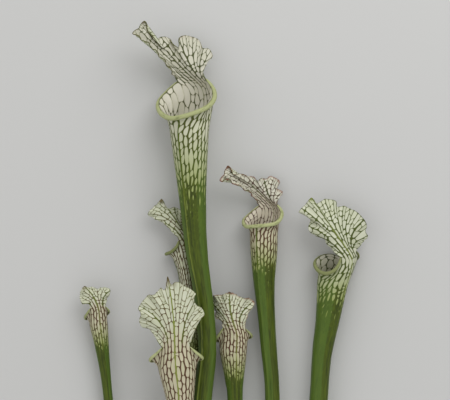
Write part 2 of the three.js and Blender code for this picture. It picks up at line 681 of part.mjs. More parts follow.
function rhizomeGeometry() {
  const path = smoothCurve(RHIZOME_PATH.map(point));
  const length = path.getLength();
  const radiusAt = (t) => {
    const scar = 1 - SCAR_DEPTH * Math.cos((2 * Math.PI * t * length) / SCAR_PITCH) ** 2;
    return interpolate(RHIZOME_RADII, t) * scar;
  };
  const feet = PITCHERS.map((pitcher) => new Tube(pitcher.axis).frame(0));
  const grown = [
    ...feet.map(crownGeometry),
    ...PITCHERS.flatMap(({ back }, i) => scaleGeometries(feet[i], back)),
    ...rootGeometries(path),
  ];
  let solid = toSolid(rod(path, radiusAt, RHIZOME_STEPS, RHIZOME_SIDES));
  for (const geometry of grown) solid = solid.add(toSolid(geometry));
  for (const pitcher of PITCHERS) solid = solid.subtract(toSolid(socketGeometry(pitcher)));
  const under = new THREE.BoxGeometry(...UNDER_BOX).translate(0, RHIZOME_PATH[0][1], -UNDER_BOX[2] / 2);
  const pieces = solid.subtract(toSolid(under)).decompose();
  return toGeometry(pieces.reduce((a, b) => (a.volume() > b.volume() ? a : b)));
}

function makeMesh(name, geometry, material) {
  const mesh = new THREE.Mesh(geometry, material);
  mesh.name = name;
  return mesh;
}

const leafMaterial = () => new THREE.MeshStandardMaterial({ ...FINISHES.leaf, metalness: 0 });
const stemMaterial = () => new THREE.MeshStandardMaterial({ ...FINISHES.rhizome, metalness: 0 });

const plant = new THREE.Group();
for (const pitcher of PITCHERS) {
  plant.add(makeMesh(pitcher.name, pitcherGeometry(pitcher), leafMaterial()));
}
plant.add(makeMesh('rhizome', rhizomeGeometry(), stemMaterial()));
plant.position.copy(ORIGIN).negate();

export default plant;
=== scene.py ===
import math
import random

import bmesh
import bpy
import numpy as np
from mathutils import Matrix, Vector


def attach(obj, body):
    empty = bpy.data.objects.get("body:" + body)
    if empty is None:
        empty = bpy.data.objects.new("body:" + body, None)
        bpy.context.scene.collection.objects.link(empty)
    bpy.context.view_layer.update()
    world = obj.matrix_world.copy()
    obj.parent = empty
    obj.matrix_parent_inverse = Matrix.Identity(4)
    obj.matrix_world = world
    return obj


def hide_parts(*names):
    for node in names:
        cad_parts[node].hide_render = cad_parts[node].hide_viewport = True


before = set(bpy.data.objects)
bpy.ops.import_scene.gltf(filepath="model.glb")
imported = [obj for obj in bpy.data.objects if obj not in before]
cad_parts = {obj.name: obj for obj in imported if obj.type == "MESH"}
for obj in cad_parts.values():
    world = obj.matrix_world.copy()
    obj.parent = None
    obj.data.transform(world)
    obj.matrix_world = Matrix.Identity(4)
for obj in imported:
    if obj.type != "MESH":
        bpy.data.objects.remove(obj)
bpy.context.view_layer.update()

# The plant's own sizes are in millimetres, as its leaves were measured, and MM turns them into metres.
# Positions are measured from a point under the tall pitcher, and ORIGIN is the middle of the footprint.
MM = 0.001
ORIGIN = np.array([14, 45.5, 0])

# The leaf: a thin wall with a keel in front and a midrib behind, and a lip rolled from the rim.
WALL = 1.05
THIN_PANE = 0.55
KEEL_HEIGHT = 1.9
MIDRIB_HEIGHT = 0.45
RIDGE_HEIGHT = 0.35
NECK_HALF_ANGLE = 60
MOUTH_UPTURN = 0.7
NECK_BLEND = 0.2
FLARE_SPAN = 0.03
LIP_TURN = 215
LIP_ROWS = 5
LIP_TAPER = 0.1
LIP_END = 0.35

# The net of veins: a third of a tube's main veins run up its back and on into the lid, where a vein forks
# off wherever its neighbours stand further apart than a pane. Some panes merge, and rungs and veins are
# bowed, shifted and swayed by a share of a pane.
FORK_LEVELS = 3
FINE = 2 ** FORK_LEVELS
NEVER = 999
SHORTEST_ROW = 2.0
GREEN_STRETCH = 6
GREEN_RUN = 30
PANE_GROWTH = 0.88
VEIN_REACH = 0.7
MIDDLE_DEPTH = 1.2
SHARE_MERGED = 0.14
MOST_MERGED = 4
RUNG_BOW = (0.12, 0.45)
RUNG_SHIFT = 0.34
VEIN_PULL = 0.14
VEIN_SWAY = 0.09
FORK_SPREAD = (0.85, 1.2)
FORK_LIFT = 0.45
LID_BOW = (0.15, 0.42)
LID_SHIFT = 0.22
LID_SWAY = 0.2
SEED = 5

# How finely curves are sampled: points on a curve, steps for its direction, and the mouth's own samples.
CURVE_SAMPLES = 401
WAY_STEP = 0.002
AXIS_STEP = 1e-3
MOUTH_SAMPLES = 9
SAMPLES_PER_VEIN = 8

# Each leaf: its tube's axis as (x, y, z, radius), the azimuth of its back (0 faces up, 90 faces +X), the
# rim from the neck's far end round the front to its near end, the middle of the neck behind, the lid's
# margin up both sides to its point, and the way the lid's midrib rises.
PITCHERS = [
  {
    "name": "tall_pitcher",
    "back": 145,
    "lip": 1.5,
    "axis": [
      [-1, -120, 13, 4.6], [-2.5, -60, 17, 5.4], [-1.7, 0, 19, 6.3], [2, 37, 20.5, 6.2],
      [-0.5, 75, 21.5, 6.2], [-6, 108, 22, 7.3], [-8.4, 139.5, 22, 9], [-9.8, 162, 22, 10.5],
      [-11.5, 199, 22, 14],
    ],
    "rim": [
      [-20.3, 238.5, 10], [-28.5, 231, 14], [-34.5, 223, 21], [-32.3, 216, 28], [-24.8, 212, 35],
      [-15.8, 213.4, 38.5], [-5.3, 217, 38], [2.3, 221.3, 34], [6, 227.3, 28], [4.8, 234, 23],
      [0.8, 240, 21],
    ],
    "neck": [-5.5, 238, 9],
    "near_margin": [
      [-0.8, 245.5, 17.5], [-0.8, 252, 14], [5.3, 257.3, 15], [3, 263.3, 17], [-1.5, 263.3, 14],
      [-4.1, 269.3, 12], [-12.8, 273, 13], [-18.8, 271.5, 18], [-20.3, 262.5, 21], [-22.5, 265.5, 20],
      [-27.8, 271.5, 18], [-33.8, 271.5, 22], [-36.8, 268.5, 27], [-41.3, 274.5, 32], [-45, 283.5, 35],
    ],
    "far_margin": [
      [-22.5, 242.3, 14], [-27.8, 250.5, 22], [-35.3, 259.5, 31], [-42, 266.3, 38], [-48.8, 271, 42],
      [-53.3, 273.8, 42], [-49.5, 278.3, 38], [-45, 283.5, 35],
    ],
    "rise": [-20, 17, 3],
  },
  {
    "name": "hidden_pitcher",
    "back": 70,
    "lip": 0.9,
    "axis": [
      [-11, -120, 7.5, 4], [-9.5, -60, 6.8, 4], [-7, 0, 6.6, 4.2], [-8, 40, 6.8, 4.5],
      [-13.4, 91, 8, 4.8], [-16.4, 105, 9.2, 5.6],
    ],
    "rim": [
      [-14, 120, 5.5], [-19.5, 115, 2.6], [-26, 111, 4.6], [-28.8, 110.3, 9], [-25, 112, 14],
      [-21.5, 115.5, 16.3], [-19.5, 119.3, 15.5],
    ],
    "neck": [-13.3, 121.3, 12],
    "near_margin": [
      [-20.3, 121.5, 15.5], [-24.8, 126.4, 15], [-29.6, 131.3, 13], [-34.9, 135, 12],
      [-40.5, 137.3, 13], [-42.8, 138.8, 14], [-41.5, 141.8, 14], [-36.8, 146.3, 14.5],
      [-32.7, 150.8, 15],
    ],
    "far_margin": [
      [-14.3, 122.5, 6], [-12.8, 129, 8], [-13.5, 136.5, 10], [-15.8, 141, 11], [-20.3, 143.6, 11],
      [-24, 144.8, 12], [-28.5, 143.3, 14], [-32.7, 150.8, 15],
    ],
    "rise": [-13, 21, 0],
  },
  {
    "name": "front_pitcher",
    "back": -4,
    "lip": 1.2,
    "axis": [
      [-13, -120, 20.5, 4.6], [-17, -60, 27, 6.2], [-18.4, -15, 32, 8.4], [-18.6, 3, 33, 10.2],
      [-20.3, 22, 33.5, 13.4],
    ],
    "rim": [
      [-11.3, 40.5, 42], [-7, 36.6, 40], [-2.6, 33, 36.5], [-6.2, 32.4, 30], [-12, 29.5, 22.5],
      [-20.5, 27, 18.5], [-29.4, 29.5, 22.5], [-36, 31.4, 30], [-40.2, 31.5, 36.5],
      [-35.6, 35.6, 40], [-31.5, 40, 42],
    ],
    "neck": [-22.3, 41, 47.5],
    "near_margin": [
      [-34.1, 42.8, 43.5], [-36.8, 48, 43], [-41.3, 54, 41], [-46.5, 55.5, 40], [-48.8, 60.8, 42],
      [-47.5, 64.8, 45], [-49.5, 69.8, 43], [-47.5, 72.8, 42], [-42, 79.5, 45], [-38.3, 79.5, 47],
      [-35.3, 81.8, 45], [-32.3, 84.8, 44], [-30, 82.9, 45], [-27.8, 93.3, 44],
    ],
    "far_margin": [
      [-10, 45.5, 43], [-8.5, 50, 43.5], [-6.8, 54, 43], [-3.4, 60.8, 41], [0, 64.8, 39],
      [-2.7, 69.8, 38], [-5.3, 71, 40], [-8.3, 76.9, 44], [-6.4, 80.3, 42], [-14.3, 85.5, 42],
      [-21.8, 89.3, 45], [-24.8, 87, 45], [-27.8, 93.3, 44],
    ],
    "rise": [-0.3, 28, 1.3],
  },
  {
    "name": "low_pitcher",
    "back": 13,
    "lip": 1.1,
    "axis": [
      [22, -118, 12, 4.2], [23, -60, 12.8, 4.6], [22.5, 0, 14.5, 5.2], [22, 15, 15.3, 6.5],
      [21.6, 27, 15.8, 8.3], [21.2, 36, 15.8, 9.7],
    ],
    "rim": [
      [30, 53.3, 22], [33.9, 49, 19], [30.6, 47.8, 12.5], [26.8, 44, 7.2], [20.5, 41.6, 4.8],
      [14.6, 43.6, 7.4], [11.4, 45.9, 12], [8.9, 46.3, 17], [11.3, 50, 20], [13.9, 54, 22.5],
    ],
    "neck": [22.9, 53.5, 27],
    "near_margin": [
      [13.5, 56.5, 22], [12.4, 59.3, 20.5], [8.6, 62.3, 16.5], [6.8, 68.3, 13.5], [4.9, 73.5, 12.8],
      [5.3, 77.3, 14], [9, 79.1, 18], [13.5, 79.5, 22], [18.4, 81.4, 23],
    ],
    "far_margin": [
      [30.2, 55.5, 22], [30.5, 57.8, 22], [32.3, 65.3, 21], [35.3, 69, 20], [36.8, 73.5, 18],
      [33, 76.9, 21], [28.5, 76.9, 23], [23.3, 79.5, 22.5], [18.4, 81.4, 23],
    ],
    "rise": [-5.5, 14, 0.2],
  },
  {
    "name": "middle_pitcher",
    "back": 150,
    "lip": 1.1,
    "axis": [
      [42, -118, 10, 4.2], [47.5, -60, 10.5, 4.5], [50.6, 0, 11.5, 4.9], [47.4, 42, 12, 5.4],
      [45.8, 65, 12.5, 6], [44.3, 88.5, 13, 7.5], [44.1, 111, 13.5, 9.6], [44, 124, 13.5, 10],
    ],
    "rim": [
      [40.9, 145.5, 6.5], [34.5, 140.3, 9], [29.5, 135, 14], [31.3, 131, 19.5], [37.5, 131.3, 24],
      [45.8, 132, 25.5], [52.5, 133.5, 23], [56.4, 138.4, 18], [56.2, 142.5, 14], [54, 145.9, 12],
    ],
    "neck": [50, 146, 5],
    "near_margin": [
      [54.5, 148.5, 11], [55.2, 150.8, 10], [58.1, 154.5, 10], [57.8, 156.8, 9], [54, 158.3, 8],
      [56.3, 163.5, 10], [53.8, 166, 9], [48.8, 168, 7.5], [45.8, 165.8, 9], [42.8, 166.5, 11],
      [39, 164.3, 14], [37.3, 166.5, 15], [32.3, 168, 16], [26.3, 169.5, 20], [21.8, 169.5, 22],
      [16.8, 175.5, 23],
    ],
    "far_margin": [
      [39.5, 148, 8], [34.5, 154.5, 15], [29.3, 158.3, 20], [23.6, 161.3, 24], [18, 164.6, 26],
      [11.3, 165, 27], [13.5, 168.8, 25.5], [16.8, 175.5, 23],
    ],
    "rise": [-15, 17, 5],
  },
  {
    "name": "right_pitcher",
    "back": 60,
    "lip": 1.1,
    "axis": [
      [74, -116, 10.5, 4.6], [80, -60, 11, 5.4], [85.1, 0, 12, 6.3], [86, 18, 12.3, 6.1],
      [88.1, 39, 12.8, 7.1], [91.7, 60, 13, 8.5], [95.2, 86, 13.6, 11],
    ],
    "rim": [
      [112.3, 111.5, 11], [114.5, 108, 6.5], [107, 104.5, 2.2], [96, 109, 2.9], [87.8, 108.4, 6],
      [82.8, 104.3, 12], [83.9, 99.8, 18], [87.8, 96.3, 23], [93.8, 96.3, 26.5], [98.6, 100.5, 27.5],
      [101.3, 106.9, 26],
    ],
    "neck": [108, 109.5, 23],
    "near_margin": [
      [98, 110, 25.5], [95.5, 112, 24], [93, 115.5, 22], [88.5, 121, 20], [84, 124, 19],
      [79.5, 124.5, 20], [77.5, 127.5, 21], [77.8, 132, 20], [79, 136.5, 18], [75, 139.5, 19],
      [69.8, 140.6, 21], [72, 143.6, 21], [76, 147.8, 20.5], [79.5, 151.9, 21],
    ],
    "far_margin": [
      [114.8, 113.3, 13], [117.8, 118.5, 14], [122, 122.3, 16], [120, 126.8, 15], [121.3, 130.5, 16],
      [115.5, 139.5, 17], [109.1, 143.3, 15], [104.3, 145.5, 17], [98.3, 145, 20], [98.6, 148.9, 18],
      [90.5, 150.8, 17.5], [86.6, 148.9, 20], [82.5, 147.5, 21.5], [79.5, 151.9, 21],
    ],
    "rise": [-15, 22, 5.5],
  },
  {
    "name": "left_pitcher",
    "back": 10,
    "lip": 0.9,
    "axis": [
      [-58, -116, 10, 3.8], [-66, -60, 9.5, 3.4], [-72.3, 0, 9, 3], [-74, 16.5, 9, 3.3],
      [-75.6, 29, 9.1, 3.9], [-77.6, 44, 9.4, 5.1], [-79.3, 55, 9.4, 6.3],
    ],
    "rim": [
      [-74.6, 69.8, 14], [-72.7, 67.2, 12], [-74.6, 65, 6.8], [-76.8, 62, 3.4], [-80.5, 60.6, 1.8],
      [-84.6, 62, 3.9], [-89.2, 62.3, 9.5], [-87.6, 65.4, 13], [-85.5, 68.6, 15],
    ],
    "neck": [-79.9, 69.8, 17.5],
    "near_margin": [
      [-86.4, 71.3, 15], [-87.8, 73.5, 14.5], [-91, 72.8, 15], [-93.4, 75.8, 15], [-93.8, 79.1, 14],
      [-92.3, 82.5, 14], [-90.4, 85.5, 14],
    ],
    "far_margin": [
      [-74.6, 72, 14], [-73.9, 73.8, 14], [-72.8, 76.5, 13], [-71.3, 80.3, 14], [-71.3, 83.3, 14],
      [-75, 85, 15], [-80.7, 83.5, 14.5], [-84, 85.5, 13.5], [-86.6, 84.3, 14.5], [-90.4, 85.5, 14],
    ],
    "rise": [-3, 10, 0.7],
  },
]

# What the photograph shows of each leaf: how many veins run round it, how long a tube's pane is for its
# width, how wide the lid's panes are, how long its dark point is, and between which heights its windows
# fade out down the tube. Then, mostly from 0 to 1, how dark and how brown its veins are, how rosy its
# panes, how olive its lip, how red its tips, how pale its keel and how clear its midrib. Last come how
# wide the lid's veins are and the azimuth round the green tube where painted shade makes it darker olive,
# with a lighter painted sheen on the side away from it.
LOOKS = {
    "tall_pitcher": {
        "veins": 24, "length": 1.1, "pane": 3.9, "apex": 4, "fade": (134, 206), "deep": 0.75, "brown": 0.3,
        "rosy": 0.15, "olive": 0.25, "blush": 0.5, "keel": 1.0, "rib": 0.4,
        "lid_veins": 1.35, "shady_side": -12},
    "hidden_pitcher": {
        "veins": 18, "length": 1.2, "pane": 3.2, "apex": 4, "fade": (10, 80), "deep": 0.55, "brown": 0.6,
        "rosy": 0.1, "olive": 0.8, "blush": 0.4, "keel": 0.3, "rib": 0.4,
        "lid_veins": 1.0, "shady_side": 0},
    "front_pitcher": {
        "veins": 24, "length": 1.15, "pane": 3.9, "apex": 10, "fade": (-80, 0), "deep": 0.4, "brown": 0.8,
        "rosy": 0.6, "olive": 0.15, "blush": 0.35, "keel": 0.3, "rib": 1.0,
        "lid_veins": 1.0, "shady_side": 0},
    "low_pitcher": {
        "veins": 24, "length": 1.15, "pane": 3.3, "apex": 3, "fade": (6, 40), "deep": 0.6, "brown": 0.85,
        "rosy": 0.6, "olive": 0.5, "blush": 0.9, "keel": 0.3, "rib": 0.5,
        "lid_veins": 1.0, "shady_side": 10},
    "middle_pitcher": {
        "veins": 24, "length": 1.2, "pane": 3.0, "apex": 4, "fade": (86, 124), "deep": 0.75, "brown": 0.95,
        "rosy": 0.6, "olive": 0.2, "blush": 0.8, "keel": 0.3, "rib": 0.5,
        "lid_veins": 1.3, "shady_side": 40},
    "right_pitcher": {
        "veins": 18, "length": 0.78, "pane": 4.0, "apex": 4, "fade": (60, 108), "deep": 0.8, "brown": 0.1,
        "rosy": 0.05, "olive": 0.7, "blush": 0.0, "keel": 0.3, "rib": 0.6,
        "lid_veins": 1.35, "shady_side": 50},
    "left_pitcher": {
        "veins": 18, "length": 1.2, "pane": 2.6, "apex": 3, "fade": (32, 60), "deep": 0.6, "brown": 0.7,
        "rosy": 0.5, "olive": 0.5, "blush": 0.1, "keel": 0.3, "rib": 0.5,
        "lid_veins": 1.0, "shady_side": -20},
}


# Curves

class Spline:
    """A Catmull-Rom curve through points, as positions at its own steps or at even lengths."""

    def __init__(self, points, even=True):
        self.points = np.array(points, float)
        self.even = even
        self.steps = np.linspace(0, 1, CURVE_SAMPLES)
        self.table = self.at_step(self.steps)
        runs = np.linalg.norm(np.diff(self.table[:, :3], axis=0), axis=1)
        self.lengths = np.concatenate([[0], np.cumsum(runs)])
        self.length = self.lengths[-1]

    def at_step(self, t):
        p = self.points
        ends = np.vstack([2 * p[0] - p[1], p, 2 * p[-1] - p[-2]])
        place = np.clip(t, 0, 1) * (len(p) - 1)
        i = np.minimum(place.astype(int), len(p) - 2)
        w = (place - i)[:, None]
        a, b, c, d = (ends[i + k] for k in range(4))
        if self.even:
            gaps = ((a, b), (b, c), (c, d))
            ab, bc, cd = (np.linalg.norm(y - x, axis=1)[:, None] ** 0.5 for x, y in gaps)
            start = ((b - a) / ab - (c - a) / (ab + bc) + (c - b) / bc) * bc
            stop = ((c - b) / bc - (d - b) / (bc + cd) + (d - c) / cd) * bc
        else:
            start, stop = (c - a) / 2, (d - b) / 2
        return (
            b
            + start * w
            + (-3 * b + 3 * c - 2 * start - stop) * w**2
            + (2 * b - 2 * c + start + stop) * w**3
        )

    def at_length(self, share):
        step = np.interp(np.clip(share, 0, 1), self.lengths / self.length, self.steps)
        return self.at_step(step)

    def way(self, share):
        ahead = self.at_length(np.minimum(share + WAY_STEP, 1))
        return unit(ahead - self.at_length(np.maximum(share - WAY_STEP, 0)))


def unit(v):
    return v / np.linalg.norm(v, axis=-1, keepdims=True)


def smooth(low, high, x):
    t = np.clip((x - low) / (high - low), 0, 1)
    return t * t * (3 - 2 * t)


# The shape of one leaf

class Leaf:
    """Turns places in the flat net into places on the leaf: x counts main veins, and y rows up the leaf."""

    def __init__(self, pitcher):
        self.name = pitcher["name"]
        self.back = pitcher["back"]
        self.lip = pitcher["lip"]
        self.axis = Spline(pitcher["axis"], even=False)
        self.tube_length = self.axis.length
        self.rim = Spline(pitcher["rim"])
        self.near = Spline(pitcher["near_margin"])
        self.far = Spline(pitcher["far_margin"])
        self.neck = np.array(pitcher["neck"], float)
        self.rise = np.array(pitcher["rise"], float)
        ends = self.rim.at_length(np.array([0.0, 1.0]))
        self.far_end, self.near_end = ends
        self.bow = 2 * self.neck - ends.mean(axis=0)
        self.around = LOOKS[self.name]["veins"]
        self.behind = self.around // 3
        self.rib = self.behind // 2
        self.keel = (self.around + self.behind) // 2
        self.veins = np.linspace(0, self.around, SAMPLES_PER_VEIN * self.around + 1)
        self.heights = self.tube_length + self.mouth_lengths(self.veins)
        self.rows = self.plan_rows()
        self.top = len(self.rows) - 1
        self.pane = LOOKS[self.name]["pane"]
        self.lid_row = self.pane * PANE_GROWTH
        self.fine_x = np.arange(self.behind * FINE + 1) / FINE
        spans = np.linalg.norm(self.margin(self.fine_x) - self.neck_line(self.fine_x), axis=1)
        self.lid_rows = np.maximum(1, np.round(spans / self.lid_row)).astype(int)

    def frame(self, step):
        point = self.axis.at_step(step)
        ahead, behind = self.axis.at_step(step + AXIS_STEP), self.axis.at_step(step - AXIS_STEP)
        along = unit(ahead[:, :3] - behind[:, :3])
        right = unit(np.cross(along, [0, 0, 1]))
        up = np.cross(right, along)
        return point[:, :3], point[:, 3], along, right, up

    def outward(self, x):
        behind = self.back + (x / self.rib - 1) * NECK_HALF_ANGLE
        share = (x - self.behind) / (self.around - self.behind)
        round_front = self.back + NECK_HALF_ANGLE + share * (360 - 2 * NECK_HALF_ANGLE)
        return np.radians(np.where(x < self.behind, behind, round_front))

    def tube(self, x, step):
        centre, radius, _, right, up = self.frame(step)
        angle = self.outward(x)[:, None]
        return centre + radius[:, None] * (up * np.cos(angle) + right * np.sin(angle))

    def neck_line(self, x):
        t = (x / self.behind)[:, None]
        return (1 - t) ** 2 * self.near_end + 2 * (1 - t) * t * self.bow + t**2 * self.far_end

    def share(self, x):
        return np.clip((x - self.behind) / (self.around - self.behind), 0, 1)

    def edge(self, x):
        return np.where((x < self.behind)[:, None], self.neck_line(x), self.rim.at_length(self.share(x)))

    def lean(self, x):
        ring = np.ones_like(x)
        centre, _, along, _, _ = self.frame(ring)
        out = unit(self.tube(x, ring) - centre)
        flare = unit(out + along * MOUTH_UPTURN)
        share = self.share(x)
        near_neck = 1 - np.minimum(1, np.minimum(share, 1 - share) / NECK_BLEND)
        near_neck = np.where(x < self.behind, 1, near_neck)[:, None] ** 2
        return unit(flare + (unit(self.rise) - flare) * near_neck)

    def mouth(self, x, t):
        ring = np.ones_like(x)
        start, end = self.tube(x, ring), self.edge(x)
        centre, _, along, _, _ = self.frame(ring)
        span = np.array([1 - FLARE_SPAN, 1.0])
        middles = self.axis.at_step(span)
        flare = (middles[1, 3] - middles[0, 3]) / np.linalg.norm(middles[1, :3] - middles[0, :3])
        reach = np.linalg.norm(end - start, axis=1)[:, None] / 3
        leave = start + (unit(start - centre) * flare + along) * reach
        arrive = end - self.lean(x) * reach
        t = t[:, None]
        s = 1 - t
        return s**3 * start + 3 * s * s * t * leave + 3 * s * t * t * arrive + t**3 * end

    def mouth_lengths(self, x):
        steps = [self.mouth(x, np.full_like(x, t)) for t in np.linspace(0, 1, MOUTH_SAMPLES)]
        return sum(np.linalg.norm(b - a, axis=1) for a, b in zip(steps, steps[1:]))

    def margin(self, x):
        u = x / self.rib - 1
        return np.where((u <= 0)[:, None], self.near.at_length(u + 1), self.far.at_length(1 - u))

    def lid(self, x, height):
        start, end = self.neck_line(x), self.margin(x)
        full = np.linalg.norm(self.margin(np.array([float(self.rib)]))[0] - self.neck)
        bend = start + self.rise * np.linalg.norm(end - start, axis=1)[:, None] / full
        t = height[:, None]
        return (1 - t) ** 2 * start + 2 * (1 - t) * t * bend + t * t * end

    def rolled_lip(self, x, share):
        f = self.share(x)
        way, lean = self.rim.way(f), self.lean(x)
        out = unit(np.cross(way, lean))
        fullness = np.minimum(1, LIP_END + (1 - LIP_END) * np.minimum(f, 1 - f) / LIP_TAPER)
        radius = (self.lip * fullness)[:, None]
        angle = np.radians(LIP_TURN) * share[:, None]
        return self.edge(x) + radius * (np.sin(angle) * lean + (1 - np.cos(angle)) * out)

    def plan_rows(self):
        """The heights of the net's rows as shares of the leaf: short panes at the top, long ones below."""
        look = LOOKS[self.name]
        low = look["fade"][0]
        total = self.heights.mean()
        rows, place = [total], total
        while place > 0:
            step = np.interp(min(place, self.tube_length), self.axis.lengths, self.axis.steps)
            point = self.axis.at_step(np.array([step]))[0]
            pane = 2 * math.pi * point[3] / self.around * look["length"]
            green = 1 - smooth(low - GREEN_RUN, low, point[1])
            place -= max(SHORTEST_ROW, pane) * (1 + green * (GREEN_STRETCH - 1))
            rows.append(place)
        rows = np.array(rows[::-1])
        rows = (rows - rows[0]) / (rows[-1] - rows[0])
        if len(rows) % 2:
            return rows
        return np.interp(np.linspace(0, 1, len(rows) + 1), np.linspace(0, 1, len(rows)), rows)

    def place(self, zone, x, y):
        """Points in millimetres for places of the flat net, and each one's height along the leaf."""
        full = np.interp(x, self.veins, self.heights)
        height = np.interp(y, np.arange(self.top + 1), self.rows) * full
        step = np.interp(np.minimum(height, self.tube_length), self.axis.lengths, self.axis.steps)
        beyond = np.maximum(0, height - self.tube_length) / np.maximum(1e-6, full - self.tube_length)
        points = np.where((beyond > 0)[:, None], self.mouth(x, np.clip(beyond, 0, 1)), self.tube(x, step))
        over = np.maximum(0, y - self.top)
        up_lid = np.minimum(1, over / np.interp(x, self.fine_x, self.lid_rows))
        lid = self.lid(np.clip(x, 0, self.behind), up_lid)
        lip = self.rolled_lip(x, np.minimum(1, over / LIP_ROWS))
        points = np.where((zone == LID)[:, None], lid, points)
        return np.where((zone == LIP)[:, None], lip, points), height


# The flat net

TUBE, LID, LIP = 0, 1, 2
VALUES = ("vein", "main", "shade", "window", "deep", "brown", "rosy", "olive", "rib", "keel", "apex",
          "tip", "lip", "side", "lid")


class Net:
    """The leaf's veins as the edges of a flat bmesh, its panes as the faces."""

    def __init__(self, leaf, draw):
        self.leaf = leaf
        self.draw = draw
        self.bm = bmesh.new()
        self.zone = self.bm.verts.layers.int.new("zone")
        self.x = self.bm.verts.layers.float.new("vein_number")
        self.y = self.bm.verts.layers.float.new("row_number")
        self.flow = self.bm.verts.layers.float_vector.new("flow")
        for name in VALUES:
            self.bm.verts.layers.float.new(name)
        self.values = {name: self.bm.verts.layers.float[name] for name in VALUES}
        self.sheet(TUBE, leaf.around, leaf.top, (0, leaf.around), (0, leaf.top))
        self.knit_tube()
        self.sheet(LID, leaf.behind * FINE, int(leaf.lid_rows.max()), (0, leaf.behind), (leaf.top, None))
        self.knit_lid()
        lip_steps = 2 * (leaf.around - leaf.behind)
        self.sheet(LIP, lip_steps, LIP_ROWS, (leaf.behind, leaf.around), (leaf.top, leaf.top + LIP_ROWS))
        self.join_at_mouth()

    def sheet(self, zone, columns, rows, across, up):
        made = bmesh.ops.create_grid(self.bm, x_segments=columns, y_segments=rows, size=0.5)["verts"]
        low, high = up[0], up[0] + rows
        for v in made:
            v[self.zone] = zone
            v[self.x] = across[0] + round((v.co.x + 0.5) * columns) * (across[1] - across[0]) / columns
            v[self.y] = low + round((v.co.y + 0.5) * rows) * (high - low) / rows
            v.co = (v[self.x], v[self.y], 0)
        self.made = made

    def is_rung(self, edge):
        return edge.verts[0][self.y] == edge.verts[1][self.y]

    def split(self, edge, bow=0.0):
        a, b = edge.verts
        middle = bmesh.utils.edge_split(edge, a, 0.5)[1]
        middle[self.zone] = a[self.zone]
        middle[self.x] = (a[self.x] + b[self.x]) / 2
        middle[self.y] = (a[self.y] + b[self.y]) / 2
        middle.co = ((a.co + b.co) / 2) + Vector((0, bow, 0))
        return middle

    def dissolve(self, edges):
        bmesh.ops.dissolve_edges(self.bm, edges=edges, use_verts=False, use_face_split=False)

    def knit_tube(self):
        """Takes out every other rung, so that the panes stand like bricks, then bows the rungs left."""
        edges = {e for v in self.made for e in v.link_edges}
        rungs = [e for e in edges if self.is_rung(e)]
        spare, kept, last = [], [], {}
        for e in sorted(rungs, key=lambda e: (e.verts[0][self.y], min(v[self.x] for v in e.verts))):
            column, row = min(v[self.x] for v in e.verts), e.verts[0][self.y]
            odd = (column + row) % 2 == 1
            drop = odd != (self.draw.random() < SHARE_MERGED) and row - last.get(column, 0) < MOST_MERGED
            if not drop:
                last[column] = row
            if len(e.link_faces) == 2:
                (spare if drop else kept).append(e)
            elif row > 0:
                kept.append(e)
        self.shake(self.made, kept)
        self.dissolve(spare)
        for e in kept:
            bow = self.draw.uniform(*RUNG_BOW) * self.draw.choice((-1, 1))
            self.split(e, 0 if e.verts[0][self.y] == self.leaf.top else bow)

    def shake(self, verts, rungs):
        """Draws each vein towards its rungs and sets it a little off its place."""
        pull = {}
        for e in rungs:
            a, b = sorted(e.verts, key=lambda v: v[self.x])
            pull[a] = pull.get(a, 0) + VEIN_PULL
            pull[b] = pull.get(b, 0) - VEIN_PULL
        lifts = {}
        leaf = self.leaf
        straight = (0, leaf.rib, leaf.keel, leaf.around)
        for v in verts:
            if v[self.y] in (0, leaf.top):
                continue
            key = (v[self.x] % leaf.around, v[self.y])
            if key not in lifts:
                lifts[key] = self.draw.uniform(-RUNG_SHIFT, RUNG_SHIFT)
            side = 0
            if v[self.x] not in straight:
                side = pull.get(v, 0) + self.draw.uniform(-VEIN_SWAY, VEIN_SWAY)
            v.co += Vector((side, lifts[key], 0))

    def knit_lid(self):
        """Draws the fan's margin in, then lets each vein start where its neighbours have parted enough."""
        top, rows = self.leaf.top, self.leaf.lid_rows
        for v in self.made:
            v[self.y] = min(v[self.y], top + rows[round(v[self.x] * FINE)])
            v.co.y = v[self.y]
        starts = self.fork_rows()
        rungs, middles = self.lid_rungs(starts)
        bmesh.ops.remove_doubles(self.bm, verts=self.made, dist=1e-4)
        spare = []
        for e in self.lid_edges():
            a, b = sorted(e.verts, key=lambda v: (v[self.x], v[self.y]))
            i = round(a[self.x] * FINE)
            if a[self.x] == b[self.x]:
                keep = starts[i] <= a[self.y] - top
            else:
                keep = (i, round(max(a[self.y], b[self.y]) - top)) in rungs
            if len(e.link_faces) == 2 and not keep:
                spare.append(e)
        self.dissolve(spare)
        loose = []
        for v in self.lid_verts():
            place = (round(v[self.x] * FINE), round(v[self.y] - top))
            at_neck = v.is_boundary and place[1] == 0 and place[0] % (FINE // 2) != 0
            if len(v.link_edges) == 2 and (at_neck or not v.is_boundary and place not in middles):
                loose.append(v)
        bmesh.ops.dissolve_verts(self.bm, verts=loose)
        joined = {(i, row): self.draw.choice((0, 1)) for i, row in enumerate(starts) if 0 < row < NEVER}
        for e in self.lid_edges():
            ends = sorted(e.verts, key=lambda v: v[self.x])
            if ends[0][self.x] == ends[1][self.x] or top in (ends[0][self.y], ends[1][self.y]):
                continue
            forks = [joined.get((round(v[self.x] * FINE), round(v[self.y] - top))) for v in ends]
            is_fork = forks[0] == 1 or forks[1] == 0
            if len(e.link_faces) == 1 or not is_fork and all(len(v.link_edges) > 2 for v in ends):
                self.split(e)
        for v in self.lid_verts():
            if v.is_boundary:
                continue
            if len(v.link_edges) == 2:
                v.co.y += self.draw.uniform(*LID_BOW) * self.draw.choice((-1, 1, 1))
                continue
            lift = FORK_LIFT if (round(v[self.x] * FINE), round(v[self.y] - top)) in joined else 0
            side = self.draw.uniform(-LID_SWAY, LID_SWAY) / FINE
            v.co += Vector((side, lift + self.draw.uniform(-LID_SHIFT, LID_SHIFT), 0))

